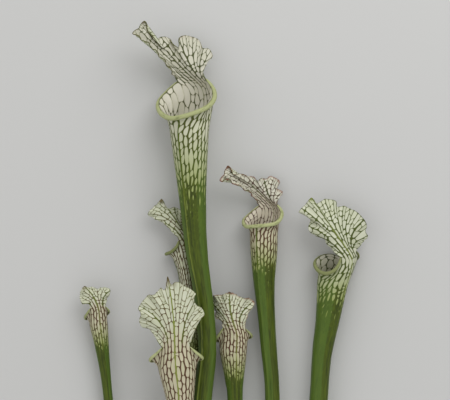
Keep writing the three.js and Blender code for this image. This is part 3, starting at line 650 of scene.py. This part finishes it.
    def lid_verts(self):
        return [v for v in self.bm.verts if v[self.zone] == LID]

    def lid_edges(self):
        return [e for e in self.bm.edges if all(v[self.zone] == LID for v in e.verts)]

    def fork_rows(self):
        """The row at which each fine vein of the lid starts."""
        leaf, rows = self.leaf, self.leaf.lid_rows
        starts = [0 if i % FINE == 0 else NEVER for i in range(len(rows))]
        for level in range(1, FORK_LEVELS + 1):
            gap = FINE // 2**level
            for i in range(gap, len(rows), 2 * gap):
                sides = np.array([i - gap, i + gap])
                low = max(starts[side] for side in sides) + 1
                for row in range(max(1, low), rows[i]):
                    ends = leaf.lid(sides / FINE, np.minimum(1, row / rows[sides]))
                    if np.linalg.norm(ends[1] - ends[0]) > leaf.pane * self.draw.uniform(*FORK_SPREAD):
                        starts[i] = row
                        break
        return starts

    def lid_rungs(self, starts):
        """The lid's rungs, as fine steps and rows, and the vertices in their middles."""
        rows = self.leaf.lid_rows
        last = len(rows) - 1
        rungs, middles = set(), set()
        for row in range(1, int(rows.max())):
            inside = [i for i in range(last + 1) if rows[i] > row]
            ends = {j for i in inside for j in (i - 1, i + 1) if 0 <= j <= last and rows[j] <= row}
            ends |= {i for i in inside if i in (0, last)}
            stops = sorted(ends | {i for i in inside if starts[i] < row})
            for a, b in zip(stops, stops[1:]):
                if any(rows[i] <= row for i in range(a + 1, b)) or b - a == 1 and a in ends and b in ends:
                    continue
                forks = any(starts[i] == row for i in range(a + 1, b))
                turn = (a // max(1, b - a) + row) % 2 == 0
                if forks or turn != (self.draw.random() < SHARE_MERGED):
                    rungs.update((i, row) for i in range(a, b))
                    if b - a > 1:
                        middles.add(((a + b) // 2, row))
        return rungs, middles

    def join_at_mouth(self):
        """Joins tube, lid and lip along the mouth, and takes out every other rung across the neck."""
        mouth = [v for v in self.bm.verts if v[self.y] == self.leaf.top]
        bmesh.ops.remove_doubles(self.bm, verts=mouth, dist=1e-3)
        spare = []
        for e in self.bm.edges:
            low, high = sorted(v[self.x] for v in e.verts)
            at_mouth = all(v[self.y] == self.leaf.top for v in e.verts)
            at_neck = at_mouth and high <= self.leaf.behind
            if at_neck and len(e.link_faces) == 2 and int(low) % 2 == 1:
                spare.append(e)
        self.dissolve(spare)


# The leaf's skin

# The lid's margin: long waves with short ones on them, and a tooth at each vein's end.
RUFFLE_HEIGHT = 0.9
RUFFLE_WAVE = 10.5
RUFFLE_START = 0.55
CRIMP_HEIGHT = 0.35
CRIMP_WAVE = 4.3
CRIMP_START = 0.8
TOOTH = 0.4

# How wide a vein looks: by how it forked off, in the middle of a rung, in the tube, along the lid's main
# veins, and at most.
VEIN_LEVELS = (1.0, 0.75, 0.7, 0.5, 0.35)
FAINT_LEVELS = (-0.1, 0.6)
TUBE_VEINS = 1.3
LID_MAINS = 1.5
MOST_MAIN = 1.75

# A leaf's middle surface stays above LOWEST, and its points join across less than SEAM_GAP. A pane is set
# in by no more than SAFE_INSET of its room, and where it is green it has GREEN_WALL of a vein's extra
# thickness. The keel rises and falls within KEEL_ENDS of the tube, and streaks follow FLOW_PER_VEIN.
LOWEST = 0.8
SEAM_GAP = 0.02
SAFE_INSET = 0.85
GREEN_WALL = 0.75
KEEL_ENDS = (0.08, 0.06)
FLOW_PER_VEIN = 4


def grow_leaf(pitcher, draw):
    """One leaf as a closed wall whose veins stand proud of its panes."""
    leaf = Leaf(pitcher)
    net = Net(leaf, draw)
    bm = net.bm
    cage = list(bm.verts)
    zone = np.array([v[net.zone] for v in cage])
    flat = np.array([v.co for v in cage])
    number = np.array([v[net.x] for v in cage])
    points, heights = leaf.place(zone, flat[:, 0], flat[:, 1])
    points[:, 2] = np.maximum(points[:, 2], LOWEST)
    for v, p in zip(cage, points):
        v.co = (p - ORIGIN) * MM
    values = leaf_values(net, cage, zone, flat, number, points)
    layers, flow = net.values, net.flow
    for k, v in enumerate(cage):
        for name in VALUES:
            v[layers[name]] = values[name][k]
        up_lid = max(0, flat[k, 1] - leaf.top) * leaf.lid_row
        v[flow] = (flat[k, 0] * FLOW_PER_VEIN, heights[k] + up_lid, 0)
    close_leaf(bm, net)
    ruffle(bm, net, leaf)
    for face in bm.faces[:]:
        off_lip = all(v[layers["lip"]] < 1 for v in face.verts)
        off_foot = any(v[net.y] > 0 for v in face.verts)
        if off_lip and off_foot:
            inset_pane(bm, face, net)
    raise_lines(bm, net)
    thick = []
    for v in bm.verts:
        solid = v[layers["vein"]] > 0.5 or v[layers["lip"]] > 0.5
        thick.append(1.0 if solid else GREEN_WALL * (1 - v[layers["window"]]))
    piece = finish(bm, pitcher["name"].replace("pitcher", "leaf"))
    group = piece.vertex_groups.new(name="thick")
    for i, weight in enumerate(thick):
        group.add([i], weight, "REPLACE")
    wall = piece.modifiers.new("wall", "SOLIDIFY")
    wall.thickness = WALL * MM
    wall.offset = 0
    wall.vertex_group = "thick"
    wall.thickness_vertex_group = THIN_PANE
    wall.material_offset = 1
    rounded = piece.modifiers.new("rounded", "SUBSURF")
    rounded.levels = rounded.render_levels = 1
    return piece


def leaf_values(net, cage, zone, flat, number, points):
    """What the leaf's finish needs to know at each vertex, mostly from 0 to 1."""
    leaf = net.leaf
    look = LOOKS[leaf.name]
    fine = np.round(number * FINE).astype(int)
    strong = (fine % (2 * FINE)) == (leaf.rib * FINE) % (2 * FINE)
    forked = [strong, fine % FINE == 0, fine % 4 == 0, fine % 2 == 0]
    level = np.select(forked, VEIN_LEVELS[:-1], VEIN_LEVELS[-1])
    level *= (0.55 + 0.95 * look["deep"]) * np.where(
        zone == LID, look["lid_veins"] * np.where(strong, LID_MAINS, 1), TUBE_VEINS)
    inner = np.array([len(v.link_edges) == 2 and not v.is_boundary for v in cage])
    faint = np.array([net.draw.uniform(*FAINT_LEVELS) for v in cage])
    edge = np.array([v.is_boundary for v in cage])
    up_lid = np.clip((flat[:, 1] - leaf.top) / np.interp(flat[:, 0], leaf.fine_x, leaf.lid_rows), 0, 1)
    up_lid = np.where(zone == LID, up_lid, 0)
    low, high = look["fade"]
    window = np.clip((points[:, 1] - low) / (high - low), 0, 1)
    at_rim = (flat[:, 1] > leaf.top - 0.01) & (flat[:, 0] > leaf.behind)
    beyond_rim = (zone == LIP) & (flat[:, 1] > leaf.top + 0.5)
    on_rib = (number == leaf.rib) & (zone != LIP)
    on_keel = (number == leaf.keel) & (zone == TUBE)
    to_apex = np.linalg.norm(points - leaf.margin(np.array([float(leaf.rib)])), axis=1)
    return {
        "vein": np.ones(len(cage)),
        "main": np.where(inner, faint * (0.7 + 0.6 * look["deep"]),
                         np.minimum(MOST_MAIN, level * (1.15 - 0.5 * up_lid))),
        "shade": np.full(len(cage), 0.5),
        "window": window,
        "deep": np.full(len(cage), look["deep"]),
        "brown": look["brown"] * (1 - 0.45 * up_lid) * np.where(strong & (zone == LID), 0.5, 1),
        "rosy": look["rosy"] * (1 - smooth(0, 0.5, up_lid)),
        "olive": np.full(len(cage), look["olive"]),
        "rib": on_rib * look["rib"] * (1 - 0.5 * up_lid) * smooth(-0.2, 0.4, window),
        "keel": on_keel * np.maximum(look["keel"], smooth(0.1, 0.5, window)),
        # Where the tube faces its shady side: the finish paints shade there as darker olive, and a lighter
        # sheen away from it.
        "side": smooth(0.7, 0.97, np.cos(leaf.outward(flat[:, 0]) - math.radians(look["shady_side"]))),
        "apex": (1 - smooth(0.3 * look["apex"], look["apex"], to_apex)) * (zone == LID),
        "tip": (edge & (zone == LID) & (up_lid > 0.5)) * look["blush"],
        "lip": np.where(beyond_rim, 1.0, np.where(at_rim, 0.5, 0.0)),
        "lid": (zone == LID) * 1.0,
    }


def close_leaf(bm, net):
    """Joins the tube's seam and closes its foot."""
    leaf = net.leaf
    seam = []
    for v in bm.verts:
        at_side = v[net.zone] == TUBE and v[net.x] % leaf.around == 0
        if at_side or v[net.y] == leaf.top:
            seam.append(v)
    bmesh.ops.remove_doubles(bm, verts=seam, dist=SEAM_GAP * MM)
    foot = [e for e in bm.edges if e.is_boundary and all(v[net.y] == 0 for v in e.verts)]
    face = bmesh.ops.holes_fill(bm, edges=foot, sides=0)["faces"][0]
    bm.normal_update()
    if face.normal.y > 0:
        face.normal_flip()


def ruffle(bm, net, leaf):
    """Waves the lid's margin, and draws its vein ends out into small teeth."""
    bm.normal_update()
    lid = [v for v in bm.verts if v[net.zone] == LID and v[net.y] > leaf.top]
    x = np.array([v[net.x] for v in lid])
    u = x / leaf.rib - 1
    run = np.where(u < 0, leaf.near.length, leaf.far.length) * np.abs(u)
    up = np.array([(v[net.y] - leaf.top) for v in lid]) / np.interp(x, leaf.fine_x, leaf.lid_rows)
    wave = np.sin(2 * math.pi * run / RUFFLE_WAVE) * RUFFLE_HEIGHT * smooth(RUFFLE_START, 1, up)
    wave += np.sin(2 * math.pi * run / CRIMP_WAVE) * CRIMP_HEIGHT * smooth(CRIMP_START, 1, up)
    inner = leaf.lid(x, np.full_like(x, 0.92))
    outer = leaf.lid(x, np.ones_like(x))
    ways = unit(outer - inner)
    moves = []
    for k, v in enumerate(lid):
        move = v.normal * wave[k]
        if v.is_boundary and abs(u[k]) < 0.99:
            move += Vector(ways[k]) * (TOOTH if len(v.link_edges) > 2 else -TOOTH / 2)
        moves.append(move * MM)
    for v, move in zip(lid, moves):
        v.co += move


def inset_pane(bm, face, net):
    """Sets a pane in from its veins, by less where it is narrow, and gives a fading one a middle."""
    before = set(face.verts)
    reach = min(VEIN_REACH * MM, SAFE_INSET * face.calc_area() / face.calc_perimeter())
    bmesh.ops.inset_individual(bm, faces=[face], thickness=reach, use_even_offset=False)
    shade = net.draw.random()
    for v in face.verts:
        for e in v.link_edges:
            if e.other_vert(v) in before:
                copy_values(bm, v, [e.other_vert(v)])
        for name in ("vein", "rib", "keel"):
            v[net.values[name]] = 0.0
        v[net.values["shade"]] = shade
    fading = [v[net.values["window"]] for v in face.verts]
    if 0 < max(fading) and min(fading) < 0.95:
        ring = list(face.verts)
        middle = bmesh.ops.poke(bm, faces=[face])["verts"][0]
        copy_values(bm, middle, ring)
        middle[net.values["vein"]] = -MIDDLE_DEPTH


def copy_values(bm, v, sources):
    """Gives a new vertex the mean of its sources' values."""
    for layer in bm.verts.layers.float.values():
        v[layer] = sum(source[layer] for source in sources) / len(sources)
    for layer in bm.verts.layers.float_vector.values():
        v[layer] = sum((source[layer] for source in sources), Vector()) / len(sources)
    for layer in bm.verts.layers.int.values():
        v[layer] = sources[0][layer]


def raise_lines(bm, net):
    """Raises the keel in front and the midrib behind."""
    bm.normal_update()
    leaf = net.leaf
    moves = []
    for v in bm.verts:
        if v[net.values["vein"]] < 0.5 or v[net.zone] == LIP:
            continue
        row = v[net.y] / leaf.top
        if v[net.x] == leaf.keel and v[net.y] < leaf.top:
            height = KEEL_HEIGHT * min(1, row / KEEL_ENDS[0], (1 - row) / KEEL_ENDS[1])
        elif v[net.x] == leaf.rib:
            height = MIDRIB_HEIGHT
        else:
            continue
        moves.append((v, v.normal * height * MM))
    for v, move in moves:
        v.co += move


def finish(bm, name):
    """Makes a bmesh into a smooth piece that stands in its place."""
    mesh = bpy.data.meshes.new(name)
    bm.to_mesh(mesh)
    bm.free()
    mesh.shade_smooth()
    piece = bpy.data.objects.new(name, mesh)
    bpy.context.scene.collection.objects.link(piece)
    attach(piece, "root")
    return piece


# The rhizome

RHIZOME_PATH = [
    (-66, -129, 8), (-56, -133, 8.4), (-30, -137, 8.8), (-8, -134, 12.3), (20, -137, 9.4), (48, -133, 10.2),
    (72, -134, 9.2), (86, -129, 8),
]
RHIZOME_RADII = [4.5, 9.5, 10, 13.5, 10.5, 11.5, 10.5, 5]
RHIZOME_ROUGHNESS = 0.025
SCAR_PITCH = 10
SCAR_DEPTH = 0.06
WRINKLE_PITCH = 2.6
WRINKLE_DEPTH = 0.012
ROOT_COUNT = 16
ROOT_RADII = (1.7, 0.6)
ROOT_LENGTHS = (34, 58)
ROOT_SPREAD = (0.06, 0.94)
ROOT_FAN = 80
ROOT_STRAY = 30
ROOT_WANDER = 9
ROOT_BENDS = (0, 0.25, 0.5, 0.75, 1)
ROOT_SINK = 1.9
ROOT_SEED = 11
ROOT_CLEARANCE = 1.4
ROOT_ROUGHNESS = 0.08
CROWN_WALL = 2.2
CROWN_DEPTH = 16
CROWN_LOWEST = 9
CROWN_SWELL = [1.45, 1.4, 1.25, 1]
SOCKET_DEPTH = 9
FIT_GAP = 0.3
SCALES = [(-62, 13, (4.2, 3.8, 0.8)), (8, 17, (4.4, 4, 0.8)), (84, 11, (4.2, 3.7, 0.8))]

# A rod's rounded ends have extra rings, and the first ring is this share of a radius in from its end.
END_RINGS = [0.003, 0.008, 0.992, 0.997]
END_SHARE = 0.06

# Steps along each rod and sides round it.
RHIZOME_GRID = (130, 32)
CROWN_GRID = (12, 20)
ROOT_GRID = (30, 8)
SCALE_GRID = (16, 16)


def lerp(a, b, t):
    return a + (b - a) * t


def blend_list(values, t):
    return float(np.interp(t, np.linspace(0, 1, len(values)), values))


def rod(bm, spline, radius_at, grid, rough=0.0, draw=None):
    """A rod along a curve, from rings that are bridged and closed at both rounded ends."""
    steps, sides = grid
    before = None
    rings = []
    for place in sorted([k / steps for k in range(steps + 1)] + END_RINGS):
        t = np.array([place])
        centre = Vector((spline.at_length(t)[0] - ORIGIN) * MM)
        along = Vector(spline.way(t)[0])
        turn = along.to_track_quat("Z", "Y").to_matrix().to_4x4()
        radius = radius_at(place) * MM
        to_end = min(place, 1 - place) * spline.length * MM
        radius *= math.sqrt(1 - (1 - min(1, END_SHARE + to_end / radius)) ** 2)
        ring = bmesh.ops.create_circle(
            bm, segments=sides, radius=radius, matrix=Matrix.Translation(centre) @ turn)["verts"]
        if rough:
            for v in ring:
                v.co += (v.co - centre) * draw.uniform(-rough, rough)
        edges = list({e for v in ring for e in v.link_edges})
        if before:
            bmesh.ops.bridge_loops(bm, edges=before + edges)
        rings.append(ring)
        before = edges
    for ring in (rings[0], rings[-1]):
        bmesh.ops.contextual_create(bm, geom=ring)


def draws(seed):
    """The source's seeded draws between 0 and 1."""
    state = float(seed)
    while True:
        state = math.fmod(state * 1103515245 + 12345, 2147483648)
        yield state / 2147483648


def root_curves(body):
    draw = draws(ROOT_SEED)
    lowest = ROOT_RADII[1] + FIT_GAP
    curves = []
    for i in range(ROOT_COUNT):
        place = lerp(*ROOT_SPREAD, (i + 0.5 * next(draw)) / ROOT_COUNT)
        start = body.at_length(np.array([place]))[0]
        length = lerp(*ROOT_LENGTHS, next(draw))
        fan = (i / (ROOT_COUNT - 1) - 0.5) * ROOT_FAN
        heading = math.radians(-90 + fan + (next(draw) - 0.5) * ROOT_STRAY)
        way = np.array([math.cos(heading), math.sin(heading), 0])
        side = np.array([-way[1], way[0], 0])
        bends = []
        for t in ROOT_BENDS:
            p = start + way * (2 * ROOT_RADII[0] + t * length)
            p = p + side * (next(draw) - 0.5) * ROOT_WANDER * min(1, 2 * t)
            p[2] = lerp(start[2] - ROOT_RADII[0] * next(draw), lowest, min(1, t * ROOT_SINK))
            p[2] = max(p[2], ROOT_CLEARANCE * lerp(*ROOT_RADII, t))
            bends.append(p)
        curves.append(Spline(bends))
    return curves


def grow_rhizome(draw):
    """The rhizome with its crowns, its roots and the old leaf bases, as three pieces."""
    body = Spline(RHIZOME_PATH)
    bm = bmesh.new()

    def radius_at(t):
        scar = 1 - SCAR_DEPTH * math.cos(2 * math.pi * t * body.length / SCAR_PITCH) ** 2
        wrinkle = 1 - WRINKLE_DEPTH * math.cos(2 * math.pi * t * body.length / WRINKLE_PITCH)
        return blend_list(RHIZOME_RADII, t) * scar * wrinkle

    rod(bm, body, radius_at, RHIZOME_GRID, RHIZOME_ROUGHNESS, draw)
    for pitcher in PITCHERS:
        grow_crown(bm, pitcher)
    bmesh.ops.recalc_face_normals(bm, faces=bm.faces)
    cut = bmesh.ops.bisect_plane(
        bm, geom=bm.verts[:] + bm.edges[:] + bm.faces[:],
        plane_co=(0, 0, 0), plane_no=(0, 0, -1), clear_outer=True)
    edges = [e for e in cut["geom_cut"] if isinstance(e, bmesh.types.BMEdge)]
    bmesh.ops.holes_fill(bm, edges=edges, sides=0)
    piece = finish(bm, "rhizome_body")
    bm = bmesh.new()
    for curve in root_curves(body):
        rod(bm, curve, lambda t: lerp(*ROOT_RADII, t), ROOT_GRID, ROOT_ROUGHNESS, draw)
    bmesh.ops.recalc_face_normals(bm, faces=bm.faces)
    roots = finish(bm, "roots")
    bm = bmesh.new()
    for pitcher in PITCHERS:
        grow_scales(bm, pitcher)
    bmesh.ops.recalc_face_normals(bm, faces=bm.faces)
    return piece, roots, finish(bm, "scales")


def leaf_foot(pitcher):
    """The foot of a leaf as (x, y, z, radius), and the way the leaf leaves it."""
    axis = Spline(pitcher["axis"], even=False)
    foot, ahead = axis.at_step(np.array([0, AXIS_STEP]))
    return foot, unit(ahead[:3] - foot[:3])


def grow_crown(bm, pitcher):
    """The stub of the rhizome in which a leaf stands."""
    foot, along = leaf_foot(pitcher)
    start = foot[:3] - along * CROWN_DEPTH
    start[2] = max(start[2], CROWN_LOWEST)
    end = foot[:3] + along * SOCKET_DEPTH
    curve = Spline([start, (start + end) / 2, end])
    rod(bm, curve, lambda t: (foot[3] + CROWN_WALL) * blend_list(CROWN_SWELL, t), CROWN_GRID)


def grow_scales(bm, pitcher):
    """Three old leaf bases that clasp a leaf where it leaves its crown."""
    foot, along = leaf_foot(pitcher)
    right = unit(np.cross(along, [0, 0, 1]))
    up = np.cross(right, along)
    beside = foot[3] + WALL / 2 + RIDGE_HEIGHT + FIT_GAP
    for azimuth, length, radii in SCALES:
        turn = math.radians(pitcher["back"] + azimuth)
        out = up * math.cos(turn) + right * math.sin(turn)
        bends = (
            (0, beside - radii[0] / 2),
            (SOCKET_DEPTH, beside - radii[1] / 3),
            (SOCKET_DEPTH + length, beside + radii[2] * 2),
        )
        path = [foot[:3] + along * far + out * away for far, away in bends]
        rod(bm, Spline(path), lambda t: blend_list(radii, t), SCALE_GRID)


# Materials

def srgb(red, green, blue):
    """A colour as it looks on a screen, from 0 to 255, as the shader's own values."""
    def linear(c):
        c = c / 255
        return c / 12.92 if c < 0.04045 else ((c + 0.055) / 1.055) ** 2.4
    return (linear(red), linear(green), linear(blue), 1.0)


class Nodes:
    """Adds nodes to a tree, each input fed by a link or a value."""

    def __init__(self, tree):
        self.tree = tree
        tree.nodes.clear()

    @classmethod
    def of_material(cls, name):
        material = bpy.data.materials.new(name)
        material.use_nodes = True
        return material, cls(material.node_tree)

    def add(self, kind, inputs=None, **settings):
        node = self.tree.nodes.new(kind)
        for name, value in settings.items():
            setattr(node, name, value)
        for name, value in (inputs or {}).items():
            socket = node.inputs[name]
            if isinstance(value, bpy.types.NodeSocket):
                self.tree.links.new(value, socket)
            else:
                socket.default_value = value
        return node

    def value(self, name):
        return self.add("ShaderNodeAttribute", attribute_name=name).outputs["Fac"]

    def vector(self, name):
        return self.add("ShaderNodeAttribute", attribute_name=name).outputs["Vector"]

    def sum(self, operation, *values):
        inputs = dict(enumerate(values))
        return self.add("ShaderNodeMath", inputs, operation=operation).outputs[0]

    def mix(self, factor, a, b):
        inputs = {0: factor, 6: a, 7: b}
        return self.add("ShaderNodeMix", inputs, data_type="RGBA").outputs[2]

    def blend(self, factor, a, b):
        return self.add("ShaderNodeMix", {0: factor, 2: a, 3: b}, data_type="FLOAT").outputs[0]

    def fade(self, value, low, high, start=0.0, end=1.0):
        inputs = {"Value": value, "From Min": low, "From Max": high, "To Min": start, "To Max": end}
        return self.add("ShaderNodeMapRange", inputs, interpolation_type="SMOOTHSTEP").outputs["Result"]

    def noise(self, vector, scale, stretch=(1, 1, 1), detail=3.0):
        sized = self.add("ShaderNodeMapping", {"Vector": vector, "Scale": stretch}).outputs["Vector"]
        inputs = {"Vector": sized, "Scale": scale, "Detail": detail}
        return self.add("ShaderNodeTexNoise", inputs).outputs["Fac"]

    def bump(self, height, strength, distance):
        inputs = {"Height": height, "Strength": strength, "Distance": distance}
        return self.add("ShaderNodeBump", inputs).outputs["Normal"]

    def surface(self, inputs):
        shader = self.add("ShaderNodeBsdfPrincipled", inputs)
        self.add("ShaderNodeOutputMaterial", {"Surface": shader.outputs["BSDF"]})


def net_group():
    """Where a leaf shows veins, how green its panes are, and how it is streaked along its length."""
    group = bpy.data.node_groups.new("vein net", "ShaderNodeTree")
    for name in ("Vein Width", "Least Width", "Tube Share"):
        group.interface.new_socket(name, in_out="INPUT", socket_type="NodeSocketFloat")
    for name in ("Veins", "Yellow", "Green", "Streaks", "Broad Streaks", "Mottle", "Near Vein"):
        group.interface.new_socket(name, in_out="OUTPUT", socket_type="NodeSocketFloat")
    n = Nodes(group)
    given = n.add("NodeGroupInput").outputs
    flow = n.vector("flow")
    window = n.value("window")
    away = n.sum("SUBTRACT", 1.0, n.value("vein"))
    mottle = n.noise(flow, 0.32)
    streaks = n.noise(flow, 1.0, (0.55, 0.045, 1), 2.0)
    width = n.sum("MULTIPLY_ADD", n.value("main"), given["Vein Width"], given["Least Width"])
    width = n.sum("MULTIPLY", width, n.blend(n.value("lid"), given["Tube Share"], 1.0))
    closing = n.sum("ADD", width, n.fade(window, 0.05, 0.6, 1.15, 0.0))
    wobble = n.sum("MULTIPLY_ADD", n.sum("SUBTRACT", mottle, 0.5), 0.25, away)
    late = n.sum("MULTIPLY_ADD", n.value("shade"), -0.42, window)
    late = n.sum("MULTIPLY_ADD", n.sum("SUBTRACT", streaks, 0.5), 0.25, late)
    out = {
        "Veins": n.fade(n.sum("SUBTRACT", wobble, closing), -0.14, 0.16, 1.0, 0.0),
        "Yellow": n.fade(window, 0.15, 1.1, 1.0, 0.0),
        "Green": n.fade(late, -0.04, 0.14, 1.0, 0.0),
        "Streaks": streaks,
        "Broad Streaks": n.noise(flow, 1.0, (0.06, 0.004, 1), 1.0),
        "Mottle": mottle,
        "Near Vein": n.fade(away, 0.0, 1.0, 1.0, 0.0),
    }
    n.add("NodeGroupOutput", out)
    return group


def leaf_material(name, net, tones, vein_width, least_width, tube_share):
    """A leaf's finish: a green tube that turns to white panes between veins, with a pale rib and lip."""
    material, n = Nodes.of_material(name)
    widths = {"Vein Width": vein_width, "Least Width": least_width, "Tube Share": tube_share}
    look = n.add("ShaderNodeGroup", widths, node_tree=net).outputs
    green = n.mix(n.fade(look["Streaks"], 0.3, 0.7), tones["dark_green"], tones["green"])
    # Broad streaks, and painted light by azimuth: the tube is painted darker olive (painted shade) where it
    # faces its shady side, and a lighter green (painted sheen) away from it.
    streaks_and_sheen = n.sum("MULTIPLY_ADD", look["Broad Streaks"], 0.9, n.sum("SUBTRACT", 0.55, n.value("side")))
    green = n.mix(n.fade(streaks_and_sheen, 0.3, 0.9, 0.0, 0.55), green, tones["streak_and_sheen_green"])
    pane = n.mix(n.value("rosy"), tones["pane"], tones["rosy"])
    pane = n.mix(n.sum("MULTIPLY", n.value("shade"), 0.3), pane, tones["near_vein"])
    pane = n.mix(n.sum("MULTIPLY", look["Near Vein"], 0.35), pane, tones["near_vein"])
    pane = n.mix(look["Yellow"], pane, tones["low_pane"])
    pane = n.mix(look["Green"], pane, green)
    browned = n.sum("MULTIPLY_ADD", look["Mottle"], 0.8, n.sum("SUBTRACT", n.value("brown"), 0.4))
    browned = n.fade(browned, 0.2, 0.8)
    vein = n.mix(n.value("deep"), tones["pale_vein"], tones["deep_vein"])
    vein = n.mix(browned, vein, tones["brown_vein"])
    vein = n.mix(look["Yellow"], vein, green)
    colour = n.mix(look["Veins"], pane, vein)
    colour = n.mix(n.fade(n.value("rib"), 0.1, 0.6, 0.0, 0.85), colour, tones["rib"])
    keel = n.mix(n.fade(n.value("window"), 0.1, 0.4), tones["rib"], tones["green"])
    strength = n.fade(n.value("window"), 0.1, 0.4, 0.45, 0.9)
    colour = n.mix(n.sum("MULTIPLY", n.fade(n.value("keel"), 0.1, 0.6), strength), colour, keel)
    apex = n.mix(n.fade(look["Mottle"], 0.4, 0.6), tones["deep_vein"], tones["rib"])
    apex = n.mix(n.fade(n.value("brown"), 0.0, 0.2, 0.0, 0.75), apex, tones["brown_vein"])
    colour = n.mix(n.value("apex"), colour, apex)
    tip = n.sum("MULTIPLY", n.fade(n.value("tip"), 0.3, 1.2), n.fade(look["Mottle"], 0.35, 0.6))
    colour = n.mix(tip, colour, tones["tip"])
    crossing = n.sum("MAXIMUM", n.value("olive"), n.fade(look["Mottle"], 0.52, 0.62, 0.0, 0.6))
    crossed = n.mix(crossing, tones["lip"], tones["olive_lip"])
    colour = n.mix(n.fade(n.value("lip"), 0.45, 0.8), colour, crossed)
    bump = n.bump(look["Streaks"], 0.12, 0.0004)
    n.surface({"Base Color": colour, "Roughness": 0.5, "Specular IOR Level": 0.28, "Normal": bump})
    return material


def bark_material(name, dark, pale, scale, stretch):
    """A rough brown skin with fine fibres over broad patches."""
    material, n = Nodes.of_material(name)
    place = n.add("ShaderNodeTexCoord").outputs["Object"]
    patches = n.noise(place, scale / 4)
    fibres = n.noise(place, scale, stretch, 8.0)
    colour = n.mix(n.fade(fibres, 0.36, 0.66), dark, pale)
    colour = n.mix(n.fade(patches, 0.4, 0.7, 0.0, 0.5), colour, dark)
    bump = n.bump(fibres, 0.9, 0.0012)
    n.surface({"Base Color": colour, "Roughness": 0.85, "Specular IOR Level": 0.25, "Normal": bump})
    return material


def floor_material():
    """A plain pale surface."""
    material, n = Nodes.of_material("floor")
    cloud = n.noise(n.add("ShaderNodeTexCoord").outputs["Object"], 3.0)
    colour = n.mix(cloud, srgb(200, 200, 199), srgb(204, 204, 203))
    n.surface({"Base Color": colour, "Roughness": 0.9})
    return material


EITHER_SIDE = {
    "tip": srgb(132, 70, 58), "lip": srgb(186, 191, 140), "olive_lip": srgb(100, 108, 54),
}
OUTSIDE = {
    **EITHER_SIDE,
    "pane": srgb(206, 208, 188), "rosy": srgb(198, 182, 152), "near_vein": srgb(182, 188, 142),
    "low_pane": srgb(146, 158, 84), "dark_green": srgb(52, 64, 8), "green": srgb(80, 95, 16),
    # The lighter green on this line serves the broad streaks and the painted sheen on the lit side of the
    # tube.
    "streak_and_sheen_green": srgb(84, 112, 40), "pale_vein": srgb(106, 112, 36), "deep_vein": srgb(64, 76, 24),
    "brown_vein": srgb(88, 58, 40), "rib": srgb(132, 144, 60),
}
INSIDE = {
    **EITHER_SIDE,
    "pane": srgb(212, 210, 196), "rosy": srgb(206, 190, 172), "near_vein": srgb(194, 192, 160),
    "low_pane": srgb(154, 154, 96), "dark_green": srgb(66, 72, 30), "green": srgb(92, 100, 50),
    # The lighter green on this line serves the broad streaks and the painted sheen on the lit side of the
    # tube.
    "streak_and_sheen_green": srgb(96, 120, 60), "pale_vein": srgb(100, 104, 44), "deep_vein": srgb(60, 66, 36),
    "brown_vein": srgb(78, 50, 42), "rib": srgb(132, 142, 74),
}


# The leaves and the rhizome in their finishes

net = net_group()
outside = leaf_material("leaf outside", net, OUTSIDE, 0.42, 0.12, 1.0)
inside = leaf_material("leaf inside", net, INSIDE, 0.36, 0.1, 0.55)
draw = random.Random(SEED)
for pitcher in PITCHERS:
    piece = grow_leaf(pitcher, draw)
    piece.data.materials.append(outside)
    piece.data.materials.append(inside)
    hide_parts(pitcher["name"])
bark = bark_material("bark", srgb(46, 32, 24), srgb(112, 84, 60), 420, (1.6, 0.6, 0.6))
root_skin = bark_material("root skin", srgb(64, 44, 32), srgb(126, 96, 68), 500, (1, 0.4, 1))
scale_skin = bark_material("scale skin", srgb(88, 58, 34), srgb(158, 126, 82), 700, (1, 0.15, 1))
for piece, skin in zip(grow_rhizome(draw), (bark, root_skin, scale_skin)):
    piece.data.materials.append(skin)
    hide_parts("rhizome")


# The floor, the light and the camera

FLOOR_SIDE = 8
FRAME_WIDTH = 0.3375
FRAME_MIDDLE = (0.001, 0.1045)
CAMERA_HEIGHT = 5.0
CAMERA_REACH = 100
SENSOR = 36.0

bpy.ops.mesh.primitive_plane_add(size=FLOOR_SIDE)
floor = bpy.context.object
floor.name = "floor"
floor.data.materials.append(floor_material())


def area_light(name, place, size, power):
    """A soft round light that faces the plant."""
    data = bpy.data.lights.new(name, "AREA")
    data.shape = "DISK"
    data.size = size
    data.energy = power
    lamp = bpy.data.objects.new(name, data)
    lamp.location = place
    lamp.rotation_euler = (-Vector(place)).to_track_quat("-Z", "Y").to_euler()
    bpy.context.scene.collection.objects.link(lamp)


area_light("window light", (0.5, 1.05, 1.0), 1.3, 9.7)
area_light("fill light", (-1.4, 0.2, 1.6), 2.4, 4)
world = bpy.data.worlds.new("room")
world.use_nodes = True
room_light = world.node_tree.nodes["Background"].inputs
room_light["Color"].default_value = (1.0, 1.0, 0.985, 1)
room_light["Strength"].default_value = 0.64
bpy.context.scene.world = world
bpy.context.scene.view_settings.view_transform = "Standard"

camera = bpy.data.objects.new("camera", bpy.data.cameras.new("camera"))
camera.data.sensor_width = SENSOR
camera.data.lens = SENSOR * CAMERA_HEIGHT / FRAME_WIDTH
camera.data.clip_end = CAMERA_REACH
camera.location = (*FRAME_MIDDLE, CAMERA_HEIGHT)
bpy.context.scene.collection.objects.link(camera)
bpy.context.scene.camera = camera
